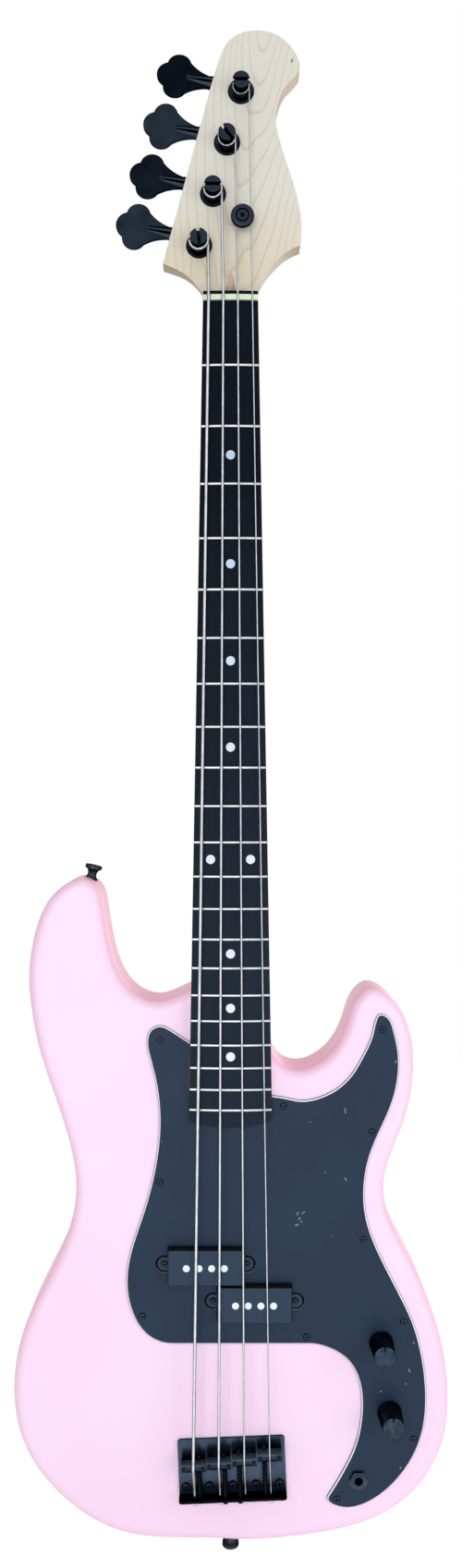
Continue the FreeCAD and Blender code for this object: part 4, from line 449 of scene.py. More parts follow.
@dataclass(frozen=True)
class PaintedLightTimber(Timber):
    """Blackened wood with painted light that makes it paler and bluer towards the body."""

    _: KW_ONLY
    painted_light: str = "#242D3A"
    painted_light_share: float = 0.9
    dark_end_mm: float = 825.0
    painted_light_end_mm: float = 410.0

    def sockets(self, tree: Tree, place: Socket) -> dict:
        """Return the grain's sockets with the painted light at the paler end."""
        found = super().sockets(tree, place)
        # Painted light: the board turns paler and bluer from the dark end towards the body.
        lit_share = add(tree, "ShaderNodeMath", {
            0: ramp(tree, place, Axis.Z, self.dark_end_mm, self.painted_light_end_mm), 1: self.painted_light_share},
            operation="MULTIPLY")
        colour = add(tree, "ShaderNodeMix", {
            SHARE: lit_share.outputs[0], FROM: found["Base Color"], TO: linear(self.painted_light)}, data_type="RGBA")
        return {**found, "Base Color": colour.outputs[MIXED]}


@dataclass(frozen=True)
class ScoopedTimber(Timber):
    """Lacquered wood, warmer below the headstock, which has a knot, a scoop of bare wood with painted shade at
    its deep end, and painted shade in tan on its sides.
    """

    _: KW_ONLY
    warmth: str = "#FCF5E8"
    pale_end_mm: float = 1040.0
    warm_end_mm: float = 985.0
    # The tan of the painted shade on the headstock's sides.
    side: str = "#B59E85"
    side_end: float = 0.3
    face_start: float = 0.8
    head_start_mm: float = 961.0
    bare: str = "#CBB8A1"
    # The painted shade at the scoop's deep end, by the nut.
    scoop_deep_shade: str = "#9C8E7D"
    scoop_length_mm: float = 11.0
    scoop_y_mm: float = -18.9
    scoop_z_mm: float = 953.6
    scoop_tilt_degrees: float = 10.0
    scoop_radius_mm: float = 3.9
    scoop_margin_mm: float = 0.12
    scoop_back_mm: float = -14.0
    scoop_step_mm: float = 0.5
    knot_colour: str = "#8E7154"
    knot: Mark = Mark(46.6, 1141.0, 3.4, 1.3, 75.0)

    def sockets(self, tree: Tree, place: Socket) -> dict:
        """Return the grain's sockets with the warmth, the sides' painted shade, the knot and the scoop with its
        painted shade.
        """
        found = super().sockets(tree, place)
        warmed = add(tree, "ShaderNodeMix", {
            SHARE: ramp(tree, place, Axis.Z, self.pale_end_mm, self.warm_end_mm), FROM: found["Base Color"],
            TO: linear(self.warmth)}, data_type="RGBA", blend_type="MULTIPLY")
        # Painted shade: the headstock's sides take the tan colour.
        side_shaded = add(tree, "ShaderNodeMix", {
            SHARE: self.on_side(tree, place), FROM: warmed.outputs[MIXED], TO: linear(self.side)},
            data_type="RGBA")
        knotted = add(tree, "ShaderNodeMix", {
            SHARE: self.knot.mask(tree, place), FROM: side_shaded.outputs[MIXED], TO: linear(self.knot_colour)},
            data_type="RGBA")
        # Painted shade: the scoop's bare wood darkens towards its deep end by the nut.
        climb = ramp(tree, place, Axis.Z, self.head_start_mm, self.head_start_mm + self.scoop_length_mm)
        bare = add(tree, "ShaderNodeMix", {SHARE: climb, FROM: linear(self.scoop_deep_shade), TO: linear(self.bare)},
                   data_type="RGBA")
        scooped = add(tree, "ShaderNodeMix", {
            SHARE: self.in_scoop(tree, place), FROM: knotted.outputs[MIXED], TO: bare.outputs[MIXED]},
            data_type="RGBA")
        return {**found, "Base Color": scooped.outputs[MIXED]}

    def on_side(self, tree: Tree, place: Socket) -> Socket:
        """Mark the headstock's sides, which take painted shade.

        Args:
            tree: The material's node tree.
            place: The Object coordinates.

        Returns:
            One on the sides and zero elsewhere.
        """
        turned = facing(tree, self.face_start, self.side_end)
        height = add(tree, "ShaderNodeSeparateXYZ", {"Vector": place}).outputs["Z"]
        on_head = add(tree, "ShaderNodeMath", {0: height, 1: self.head_start_mm * MM},
                      operation="GREATER_THAN")
        both = add(tree, "ShaderNodeMath", {0: turned, 1: on_head.outputs[0]}, operation="MULTIPLY")
        return both.outputs[0]

    def in_scoop(self, tree: Tree, place: Socket) -> Socket:
        """Mark the scoop's round cut.

        Args:
            tree: The material's node tree.
            place: The Object coordinates.

        Returns:
            One within the cut and zero elsewhere.
        """
        along = add(tree, "ShaderNodeMapping", {
            "Vector": place, "Location": (0.0, self.scoop_y_mm * MM, self.scoop_z_mm * MM),
            "Rotation": (math.radians(self.scoop_tilt_degrees), 0.0, 0.0)}, vector_type="TEXTURE")
        across = add(tree, "ShaderNodeVectorMath", {0: along.outputs["Vector"], 1: (1.0, 1.0, 0.0)},
                     operation="MULTIPLY")
        reach = add(tree, "ShaderNodeVectorMath", {0: across.outputs["Vector"]}, operation="LENGTH")
        near = add(tree, "ShaderNodeMath", {
            0: reach.outputs["Value"], 1: (self.scoop_radius_mm + self.scoop_margin_mm) * MM},
            operation="LESS_THAN")
        ahead = ramp(tree, place, Axis.Y, self.scoop_back_mm + self.scoop_step_mm, self.scoop_back_mm)
        both = add(tree, "ShaderNodeMath", {0: near.outputs[0], 1: ahead}, operation="MULTIPLY")
        return both.outputs[0]


@dataclass(frozen=True)
class BlackPlating(Finish):
    """Black chrome on metal: blue-grey where it faces the light, black where it turns away, faintly clouded.

    Real grit is finer: it is drawn coarser, so that it softens the reflections.
    """

    dark: str
    light: str
    _: KW_ONLY
    rougher: float = 0.06
    sheen_mm: float = 6.0
    turned_away: str = "#0B0E13"
    tone_mm: float = 14.0
    grit_mm: float = 0.9
    grit_depth_mm: float = 0.003

    def sockets(self, tree: Tree, place: Socket) -> dict:
        """Return the plating's colour, gloss and grit."""
        grit = add(tree, "ShaderNodeTexNoise", {
            "Vector": place, "Scale": per_metre(self.grit_mm), "Detail": 2.0})
        relief = add(tree, "ShaderNodeBump", {
            "Height": grit.outputs["Fac"], "Strength": 1.0, "Distance": self.grit_depth_mm * MM})
        return {
            "Base Color": mottled(tree, place, self.tone_mm, self.dark, self.light),
            "Metallic": 1.0,
            "Specular Tint": linear(self.turned_away),
            "Roughness": self.gloss(tree, place),
            "Normal": relief.outputs["Normal"],
        }


@dataclass(frozen=True)
class FacedPlating(BlackPlating):
    """Black chrome whose front has its own tone, clouded where worn, and may have a dark rim behind it. On the
    posts, the string tree, the bridge and the screws, the difference between the front and the rest is painted
    light and shade.
    """

    _: KW_ONLY
    face: str
    face_y_mm: float
    face_depth_mm: float = 0.5
    worn: str = ""
    cloud_mm: float = 5.0
    rim: str = ""
    rim_depth_mm: float = 1.4

    def sockets(self, tree: Tree, place: Socket) -> dict:
        """Return the plating's sockets with the tones of the face and the rim."""
        found = super().sockets(tree, place)
        step = self.face_depth_mm / 2
        behind = found["Base Color"]
        if self.rim:
            rim_end = self.face_y_mm + self.rim_depth_mm
            behind = add(tree, "ShaderNodeMix", {
                SHARE: ramp(tree, place, Axis.Y, rim_end, rim_end - step), FROM: behind,
                TO: linear(self.rim)}, data_type="RGBA").outputs[MIXED]
        face_end = self.face_y_mm + self.face_depth_mm
        colour = add(tree, "ShaderNodeMix", {
            SHARE: ramp(tree, place, Axis.Y, face_end, face_end - step), FROM: behind,
            TO: mottled(tree, place, self.cloud_mm, self.face, self.worn or self.face)}, data_type="RGBA")
        return {**found, "Base Color": colour.outputs[MIXED]}


@dataclass(frozen=True)
class GroovedPlating(BlackPlating):
    """Black chrome on a tapered stem, with painted highlight on its ridges and painted shade in its grooves."""

    _: KW_ONLY
    start: Place
    turn: Place
    ridge_highlight: str = "#37414D"
    groove_shade: str = "#020304"
    length_mm: float = 21.0
    start_radius_mm: float = 5.0
    end_radius_mm: float = 2.4
    groove_share: float = 0.38
    groove_half_share: float = 0.2
    blade_half_mm: float = 1.75

    def sockets(self, tree: Tree, place: Socket) -> dict:
        """Return the plating's sockets with the painted highlight on the stem's ridges and the painted shade in
        its grooves.
        """
        found = super().sockets(tree, place)
        local = add(tree, "ShaderNodeMapping", {
            "Vector": place, "Location": self.start, "Rotation": self.turn}, vector_type="TEXTURE")
        along, across, out = add(tree, "ShaderNodeSeparateXYZ", {"Vector": local.outputs["Vector"]}).outputs
        radius = add(tree, "ShaderNodeMapRange", {
            "Value": along, "From Max": self.length_mm * MM, "To Min": self.start_radius_mm * MM,
            "To Max": self.end_radius_mm * MM})
        share = add(tree, "ShaderNodeMath", {0: across, 1: radius.outputs["Result"]}, operation="DIVIDE")
        aside = add(tree, "ShaderNodeMath", {0: share.outputs[0]}, operation="ABSOLUTE")
        sunk = add(tree, "ShaderNodeMath", {
            0: aside.outputs[0], 1: self.groove_share, 2: self.groove_half_share}, operation="COMPARE")
        depth = add(tree, "ShaderNodeMath", {0: out}, operation="ABSOLUTE")
        raised = add(tree, "ShaderNodeMath", {0: depth.outputs[0], 1: self.blade_half_mm * MM},
                     operation="GREATER_THAN")
        half = self.length_mm * MM / 2
        within = add(tree, "ShaderNodeMath", {0: along, 1: half, 2: half}, operation="COMPARE")
        stem = add(tree, "ShaderNodeMath", {0: raised.outputs[0], 1: within.outputs[0]}, operation="MULTIPLY")
        dug = add(tree, "ShaderNodeMath", {0: stem.outputs[0], 1: sunk.outputs[0]}, operation="MULTIPLY")
        # Painted highlight on the ridges, then painted shade in the grooves.
        ridge_lit = add(tree, "ShaderNodeMix", {
            SHARE: stem.outputs[0], FROM: found["Base Color"], TO: linear(self.ridge_highlight)}, data_type="RGBA")
        colour = add(tree, "ShaderNodeMix", {
            SHARE: dug.outputs[0], FROM: ridge_lit.outputs[MIXED], TO: linear(self.groove_shade)}, data_type="RGBA")
        return {**found, "Base Color": colour.outputs[MIXED]}


@dataclass(frozen=True)
class ThreePlySheet(Finish):
    """Three-ply acrylic sheet, cut and bevelled: a satin black face with painted reflection in slate blue, a
    white core line, dust and scratches.
    """

    dark: str
    light: str
    core: str
    _: KW_ONLY
    front_y_mm: float
    core_start_mm: float
    core_end_mm: float
    scratches: tuple[Mark, ...]
    scratch_colour: str = "#A9B6C4"
    scratch_share: float = 0.8
    cut: str = "#05070B"
    cut_end: float = 0.8
    face_start: float = 0.95
    smoother: float = 0.04
    sheen_mm: float = 25.0
    specular: float = 0.19
    tone_mm: float = 45.0
    dust_mm: float = 20.0
    dust_share: float = 0.5
    speck_reach: float = 0.022

    def sockets(self, tree: Tree, place: Socket) -> dict:
        """Return the plies' colours, the gloss, the dust and the scratches."""
        cells = add(tree, "ShaderNodeTexVoronoi", {"Vector": place, "Scale": per_metre(self.dust_mm)},
                    feature="F1")
        specks = add(tree, "ShaderNodeMath", {0: cells.outputs["Distance"], 1: self.speck_reach},
                     operation="LESS_THAN")
        marks = add(tree, "ShaderNodeMath", {0: specks.outputs[0], 1: self.dust_share}, operation="MULTIPLY")
        for scratch in self.scratches:
            marks = add(tree, "ShaderNodeMath", {0: marks.outputs[0], 1: scratch.mask(tree, place)},
                        operation="MAXIMUM")
        faint = add(tree, "ShaderNodeMath", {0: marks.outputs[0], 1: self.scratch_share},
                    operation="MULTIPLY")
        # Painted reflection: the front face's slate tones stand for the white room mirrored in the black ply.
        face = add(tree, "ShaderNodeMix", {
            SHARE: faint.outputs[0], FROM: mottled(tree, place, self.tone_mm, self.dark, self.light),
            TO: linear(self.scratch_colour)}, data_type="RGBA")
        outer = add(tree, "ShaderNodeMix", {
            SHARE: facing(tree, self.face_start, self.cut_end), FROM: face.outputs[MIXED],
            TO: linear(self.cut)}, data_type="RGBA")
        depth = add(tree, "ShaderNodeSeparateXYZ", {"Vector": place}).outputs["Y"]
        core_middle = self.front_y_mm + (self.core_start_mm + self.core_end_mm) / 2
        core_half = (self.core_end_mm - self.core_start_mm) / 2
        in_core = add(tree, "ShaderNodeMath", {0: depth, 1: core_middle * MM, 2: core_half * MM},
                      operation="COMPARE")
        plied = add(tree, "ShaderNodeMix", {
            SHARE: in_core.outputs[0], FROM: outer.outputs[MIXED], TO: linear(self.core)}, data_type="RGBA")
        return {
            "Base Color": plied.outputs[MIXED],
            "Roughness": self.gloss(tree, place),
            "Specular IOR Level": self.specular,
        }


@dataclass(frozen=True)
class MouldedPlastic(Finish):
    """Injection-moulded plastic: an even colour with the mould's texture, drawn coarser so that it shows."""

    dark: str
    light: str
    _: KW_ONLY
    specular: float = 0.5
    tone_mm: float = 12.0
    grain_mm: float = 1.1
    grain_depth_mm: float = 0.01

    def sockets(self, tree: Tree, place: Socket) -> dict:
        """Return the plastic's colour, gloss and moulded texture."""
        grain = add(tree, "ShaderNodeTexNoise", {
            "Vector": place, "Scale": per_metre(self.grain_mm), "Detail": 2.0})
        relief = add(tree, "ShaderNodeBump", {
            "Height": grain.outputs["Fac"], "Strength": 1.0, "Distance": self.grain_depth_mm * MM})
        return {
            "Base Color": mottled(tree, place, self.tone_mm, self.dark, self.light),
            "Roughness": self.gloss(tree, place),
            "Specular IOR Level": self.specular,
            "Normal": relief.outputs["Normal"],
        }


@dataclass(frozen=True)
class FacedPlastic(MouldedPlastic):
    """Moulded plastic with painted reflection that makes its faces paler than its sides."""

    _: KW_ONLY
    face: str
    side_end: float = 0.7
    face_start: float = 0.97

    def sockets(self, tree: Tree, place: Socket) -> dict:
        """Return the plastic's sockets with the face's painted reflection."""
        found = super().sockets(tree, place)
        # Painted reflection: faces that look forward take the slate face colour.
        colour = add(tree, "ShaderNodeMix", {
            SHARE: facing(tree, self.side_end, self.face_start), FROM: found["Base Color"],
            TO: linear(self.face)}, data_type="RGBA")
        return {**found, "Base Color": colour.outputs[MIXED]}


@dataclass(frozen=True)
class BluishLitPlastic(MouldedPlastic):
    """Pearly plastic with painted light that makes it greyer and bluer towards the nut."""

    _: KW_ONLY
    bluish_light: str = "#B2CAE5"
    bluish_light_share: float = 0.9
    clear_end_mm: float = 384.0
    bluish_light_end_mm: float = 820.0

    def sockets(self, tree: Tree, place: Socket) -> dict:
        """Return the plastic's sockets with the painted light towards the nut."""
        found = super().sockets(tree, place)
        # Painted light: the dots turn greyer and bluer towards the nut.
        bluish_share = add(tree, "ShaderNodeMath", {
            0: ramp(tree, place, Axis.Z, self.clear_end_mm, self.bluish_light_end_mm), 1: self.bluish_light_share},
            operation="MULTIPLY")
        colour = add(tree, "ShaderNodeMix", {
            SHARE: bluish_share.outputs[0], FROM: found["Base Color"], TO: linear(self.bluish_light)}, data_type="RGBA")
        return {**found, "Base Color": colour.outputs[MIXED]}


@dataclass(frozen=True)
class DrawnSteel(Finish):
    """Nickel silver or steel, drawn and polished, with fine lines: a bright crown between flanks darkened by
    painted shade.

    Real lines are finer: they are drawn coarser, so that they show.
    """

    dark: str
    light: str
    _: KW_ONLY
    line_mm: float
    lines: Axis = Axis.X
    line_depth_mm: float = 0.01
    line_wander: float = 0.6
    rougher: float = 0.08
    sheen_mm: float = 5.0
    tone_mm: float = 9.0
    flank_shade: str = "#6A6F75"
    flank_end: float = 0.3
    crown_start: float = 0.9

    def sockets(self, tree: Tree, place: Socket) -> dict:
        """Return the metal's colour, gloss and lines."""
        wave = add(tree, "ShaderNodeTexWave", {
            "Vector": place, "Scale": band_scale(self.line_mm), "Distortion": self.line_wander,
            "Detail": 1.0}, bands_direction=self.lines.value)
        relief = add(tree, "ShaderNodeBump", {
            "Height": wave.outputs["Fac"], "Strength": 1.0, "Distance": self.line_depth_mm * MM})
        # Painted shade: surfaces that turn away from the front and back take the dark flank colour.
        colour = add(tree, "ShaderNodeMix", {
            SHARE: facing(tree, self.flank_end, self.crown_start), FROM: linear(self.flank_shade),
            TO: mottled(tree, place, self.tone_mm, self.dark, self.light)}, data_type="RGBA")
        return {
            "Base Color": colour.outputs[MIXED],
            "Metallic": 1.0,
            "Roughness": self.gloss(tree, place),
            "Normal": relief.outputs["Normal"],
        }


GUARD_SCRATCHES = (
    Mark(50.6, 266.6, 3.2, 0.55, 70.0),
    Mark(55.0, 267.2, 3.4, 0.5, 35.0),
    Mark(52.2, 262.8, 2.6, 0.7, 60.0),
    Mark(50.0, 257.9, 3.0, 0.8, 15.0),
    Mark(53.4, 260.5, 1.6, 0.6, -40.0),
    Mark(86.7, 344.2, 5.0, 0.5, -82.0),
    Mark(86.9, 292.4, 3.2, 0.6, -60.0),
    Mark(125.1, 381.4, 3.0, 0.5, 60.0),
    Mark(60.3, 335.5, 0.9, 0.7, 0.0),
    Mark(71.7, 297.6, 0.9, 0.7, 0.0),
    Mark(135.1, 147.9, 3.4, 0.55, -62.0),
    Mark(138.5, 168.9, 2.4, 0.5, -50.0),
    Mark(132.3, 137.8, 1.0, 0.8, 0.0),
    Mark(113.6, 132.1, 1.1, 0.9, 0.0),
    Mark(128.4, 74.2, 2.2, 0.5, 70.0),
)
# Pink polyurethane, sprayed and buffed: an even milky pink, with painted shade in a deeper pink on the edges
# and sides.
PINK = SprayedLacquer("pink_sprayed_lacquer", "#FDE0F8", "#FCDBF4", "#F8BACE", roughness=0.34,
                      cavity_low_mm=(-75.0, -21.8, 170.0), cavity_high_mm=(80.0, 12.0, 275.0))
# Flat-sawn maple under satin lacquer: pale cream with thin tan arches.
MAPLE = ScoopedTimber("maple_satin_lacquer", "#DDDACE", "#BEA785", "#CDBFA4", roughness=0.42, specular=0.3,
                      ring_mm=4.6, ring_share=0.5, ring_edge=0.8, ring_wander=9.0, fibre_mm=1.4,
                      fleck_share=0.25, pith_mm=(6.0, 16.0, 1000.0), pith_lean_degrees=(9.0, 7.0))
# Hardwood stained black and oiled: nearly black, dull, with faint long streaks, and painted light that turns it
# paler towards the body.
BOARD = PaintedLightTimber("blackened_board_wood", "#0A101B", "#0E1522", "#161E2B", roughness=0.55, specular=0.04,
                      ring_mm=5.0, ring_share=0.5, fibre_mm=0.9)
# Black-white-black acrylic sheet: a satin face with a thin white outline; the face's slate blue is painted
# reflection on the black ply.
GUARD = ThreePlySheet("three_ply_guard_sheet", "#1B2C41", "#1F3248", "#F4F6FD", roughness=0.42,
                      front_y_mm=front_mm("pickguard"), core_start_mm=0.4, core_end_mm=1.25,
                      scratches=GUARD_SCRATCHES)
# Moulded black ABS: painted reflection makes the tops slate, and the sides stay black.
COVER = FacedPlastic("pickup_cover_plastic", "#04060A", "#07090E", roughness=0.42, specular=0.25,
                     face="#20364C")
# Black chrome on turned brass: a slate face that hands have clouded, a dark rim and near-black sides.
KNOB = FacedPlating("knob_black_chrome", "#343B47", "#3E4653", roughness=0.3, turned_away="#1C2029",
                    face="#252E37", worn="#394858", face_y_mm=front_mm("volume_knob"), rim="#05070A")
# Black chrome on turned and slotted brass: glossy black, with painted reflection that makes the front paler and
# painted shade that keeps the slots and recesses black.
POST = FacedPlating("post_black_chrome", "#0D1116", "#14191F", roughness=0.28, face="#29313B",
                    face_y_mm=front_mm("tuner_post_E"))
TREE = FacedPlating("tree_black_chrome", "#080A0E", "#0D1015", roughness=0.3, face="#2B343F",
                    face_y_mm=front_mm("string_tree"))
# Black chrome on pressed and turned steel: dark blue-grey, glossier on the flat plates.
HARDWARE = BlackPlating("black_chrome", "#1A212B", "#252E39", roughness=0.26)
FITTING = BlackPlating("fitting_black_chrome", "#313C46", "#3E4954", roughness=0.26)
BUTTON = BlackPlating("button_black_chrome", "#272D36", "#323943", roughness=0.3)
SADDLE = BlackPlating("saddle_black_chrome", "#222A34", "#2C3540", roughness=0.26)
# Black chrome on bent steel: a slate plate, with painted shade that makes its lip black.
BRIDGE = FacedPlating("bridge_black_chrome", "#384556", "#445164", roughness=0.3, face="#0D1116",
                      face_y_mm=-26.5)
# Black oxide on steel screws: dull heads. On the guard, pickup and bridge screws, painted highlight makes the
# tops paler and painted shade makes the recesses and rims black.
SCREW = BlackPlating("black_screw_oxide", "#161B22", "#20272F", roughness=0.34)
GUARD_SCREW = FacedPlating("guard_screw_oxide", "#06080B", "#0A0D11", roughness=0.3, face="#33404E",
                           face_y_mm=front_mm("pickguard_screws"))
PICKUP_SCREW = FacedPlating("pickup_screw_oxide", "#06080B", "#0A0D11", roughness=0.3, face="#333D49",
                            face_y_mm=front_mm("pickup_screws"), face_depth_mm=0.6)
BRIDGE_SCREW = FacedPlating("bridge_screw_oxide", "#05070A", "#090B0F", roughness=0.3, face="#38434F",
                            face_y_mm=front_mm("bridge_screws"), face_depth_mm=0.9)
# Black oxide on cut gears and on spring wire: dull grey-black.
GEAR = BlackPlating("gear_black_oxide", "#2A2E33", "#383D43", roughness=0.4)
SPRING = BlackPlating("spring_black_oxide", "#0E1013", "#171A1E", roughness=0.4)
# Drawn nickel silver: a bright crown between flanks darkened by painted shade.
FRET = DrawnSteel("fret_nickel_silver", "#B4B8BC", "#CBCED2", roughness=0.3, line_mm=1.2, flank_shade="#1A1E24",
                  flank_end=0.6, crown_start=0.985)
# Wound nickel-plated steel: bright, with lines across and flanks darkened by painted shade.
# Real winding is about 0.4 mm apart: it is drawn twice as coarse, so that it shows.
WOUND = DrawnSteel("wound_string_steel", "#B4B8BC", "#D0D3D6", roughness=0.34, line_mm=0.8, lines=Axis.Z,
                   line_depth_mm=0.12, flank_shade="#0C0F13", flank_end=0.42, crown_start=0.95)
# Ground steel: nearly white discs. Zinc-plated steel: dull grey. Both have flanks darkened by painted shade.
POLE = DrawnSteel("pole_ground_steel", "#C2CACD", "#D5DCDF", roughness=0.3, line_mm=0.5)
PLAIN_STEEL = DrawnSteel("zinc_plated_steel", "#8F9396", "#B0B3B5", roughness=0.38, line_mm=0.7)
# Moulded plastics: pearly dots with painted light that turns them bluer towards the nut, a greenish ivory nut,
# black bobbins and vinyl wires.
DOT = BluishLitPlastic("dot_pearl_plastic", "#E6EEF4", "#F3F7F8", roughness=0.3)
NUT = MouldedPlastic("nut_ivory_plastic", "#D2DDC1", "#DDE7CD", roughness=0.4)
INSIDE = MouldedPlastic("bobbin_black_plastic", "#141416", "#1C1C1F", roughness=0.5)
WIRE = MouldedPlastic("wire_black_vinyl", "#131417", "#1B1C20", roughness=0.45)


def piece_of(shape: bmesh.types.BMesh, name: str, material: bpy.types.Material) -> bpy.types.Object:
    """Make a piece of a finished shape, whose place is in its mesh.

    Args:
        shape: The shape, which is freed.
        name: The piece's name.
        material: The piece's material.

    Returns:
        The piece, in the scene.
    """
    mesh = bpy.data.meshes.new(name)
    shape.to_mesh(mesh)
    shape.free()
    mesh.materials.append(material)
    piece = bpy.data.objects.new(name, mesh)
    bpy.context.scene.collection.objects.link(piece)
    LOG.info("%s: %s", name, material.name)
    return piece


@dataclass
class SubAssembly(ABC):
    """A group of pieces that is dressed together."""

    @abstractmethod
    def dress(self) -> None:
        """Give each piece its finish."""


@dataclass
class BodyAssembly(SubAssembly):
    """The body with its guard, controls and strap buttons."""

    def dress(self) -> None:
        """Give the body's pieces their finishes."""
        PINK.dress("body")
        GUARD.dress("pickguard")
        KNOB.dress("volume_knob", "tone_knob")
        FITTING.dress("control_nuts", "output_jack")
        BUTTON.dress("strap_buttons")
        GUARD_SCREW.dress("pickguard_screws")
        SCREW.dress("strap_button_screws")
        PLAIN_STEEL.dress("potentiometers")
        WIRE.dress("wiring")


@dataclass
class NeckAssembly(SubAssembly):
    """The neck with its board, frets, dots, nut, rod and plate."""

    def dress(self) -> None:
        """Give the neck's pieces their finishes."""
        MAPLE.dress("neck")
        BOARD.dress("fretboard")
        FRET.dress("frets")
        DOT.dress("position_dots")
        NUT.dress("nut")
        PLAIN_STEEL.dress("truss_rod", "truss_rod_nut")
        HARDWARE.dress("neck_plate")
        SCREW.dress("neck_screws")


@dataclass
class PickupAssembly(SubAssembly):
    """The split pickup."""

    def dress(self) -> None:
        """Give the pickup's pieces their finishes."""
        COVER.dress("pickup_covers")
        INSIDE.dress("pickup_bobbins")
        POLE.dress("pole_pieces")
        PICKUP_SCREW.dress("pickup_screws")


@dataclass
class BridgeAssembly(SubAssembly):
    """The bridge with its saddles, screws and springs, and the strings."""

    base_mm: Place = (0.2, -22.0, 96.8)
    lean_degrees: float = -2.3
    lip_z_mm: float = -39.7
    screw_x_mm: tuple[float, ...] = (-24.65, -5.55, 5.55, 24.65)
    screw_y_mm: tuple[float, ...] = (-8.24, -9.76, -9.76, -8.24)
    saddle_z_mm: tuple[float, ...] = (-15.55, -13.55, -11.68, -9.80)
    saddle_radius_mm: float = 4.6
    spring_radius_mm: float = 1.75
    spring_turns: int = 9
    steps_per_turn: int = 20
    wire_radius_mm: float = 0.3
    wire_sides: int = 8
    end_gap_mm: float = 0.15
    run_start_mm: float = 230.0
    merge_mm: float = 0.001
    crease_degrees: float = 40.0

    def placement(self, number: int) -> Matrix:
        """Return where the middle line of a saddle's screw is, from the bridge's front edge.

        Args:
            number: The string's number.

        Returns:
            The placement.
        """
        base = Matrix.Translation(Vector(self.base_mm) * MM)
        lean = Matrix.Rotation(math.radians(self.lean_degrees), 4, "Y")
        side = Matrix.Translation(Vector((self.screw_x_mm[number], self.screw_y_mm[number], 0.0)) * MM)
        return base @ lean @ side

    def spring(self, number: int, name: str) -> None:
        """Wind a spring round its screw, so that it stretches between the lip and the saddle.

        Args:
            number: The string's number.
            name: The string's name.
        """
        gap = self.wire_radius_mm + self.end_gap_mm
        saddle_back = self.saddle_z_mm[number] - self.saddle_radius_mm
        low = self.lip_z_mm + gap
        rise = saddle_back - gap - low
        steps = self.spring_turns * self.steps_per_turn
        shape = bmesh.new()
        bmesh.ops.create_circle(shape, segments=self.wire_sides, radius=self.wire_radius_mm * MM)
        bmesh.ops.rotate(shape, verts=shape.verts, matrix=Matrix.Rotation(math.pi / 2, 3, "X"))
        bmesh.ops.translate(shape, verts=shape.verts, vec=Vector((self.spring_radius_mm, 0.0, low)) * MM)
        bmesh.ops.spin(
            shape, geom=shape.verts[:] + shape.edges[:], axis=(0.0, 0.0, 1.0), cent=(0.0, 0.0, 0.0),
            dvec=(0.0, 0.0, rise * MM / steps), angle=2 * math.pi * self.spring_turns, steps=steps)
        bmesh.ops.holes_fill(shape, edges=[edge for edge in shape.edges if edge.is_boundary], sides=0)
        bmesh.ops.recalc_face_normals(shape, faces=shape.faces)
        bmesh.ops.transform(shape, verts=shape.verts, matrix=self.placement(number))
        for face in shape.faces:
            face.smooth = len(face.verts) == 4
        piece = piece_of(shape, f"intonation_spring_{name}", SPRING.material())
        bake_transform(piece)
        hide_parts("intonation_springs")

    def string(self, number: int, name: str, stretch: Stretch) -> None:
        """Part a string at its saddle's crest and make the stretch on one side of it.

        Args:
            number: The string's number.
            name: The string's name.
            stretch: The stretch of the string to make.
        """
        place = self.placement(number)
        crest = place @ Vector((0.0, 0.0, self.saddle_z_mm[number] * MM))
        shape = bmesh.new()
        shape.from_mesh(frame["nodes"][f"string_{name}"].data)
        bmesh.ops.remove_doubles(shape, verts=shape.verts, dist=self.merge_mm * MM)
        bmesh.ops.bisect_plane(
            shape, geom=shape.verts[:] + shape.edges[:] + shape.faces[:], plane_co=crest,
            plane_no=place.to_3x3() @ Vector((0.0, 0.0, 1.0)), clear_inner=stretch is Stretch.RUN,
            clear_outer=stretch is Stretch.TAIL)
        bmesh.ops.holes_fill(shape, edges=[edge for edge in shape.edges if edge.is_boundary], sides=0)
        bmesh.ops.recalc_face_normals(shape, faces=shape.faces)
        for face in shape.faces:
            face.smooth = True
        for edge in shape.edges:
            edge.smooth = edge.calc_face_angle(0.0) < math.radians(self.crease_degrees)
        piece = piece_of(shape, f"string_{name}_{stretch.value}", WOUND.material())
        if stretch is Stretch.RUN:
            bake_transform(piece)
        else:
            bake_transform(piece)
        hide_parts(f"string_{name}")

    def dress(self) -> None:
        """Give the bridge's pieces and the strings their finishes, wind the springs and part the strings."""
        BRIDGE.dress("bridge_plate")
        SADDLE.dress(*nodes_for("saddle"))
        BRIDGE_SCREW.dress("bridge_screws")
        SCREW.dress(*nodes_for("intonation_screw"))
        SPRING.dress("intonation_springs")
        WOUND.dress(*nodes_for("string"))
        for number, name in enumerate(STRING_NAMES):
            self.spring(number, name)
            for stretch in Stretch:
                self.string(number, name, stretch)


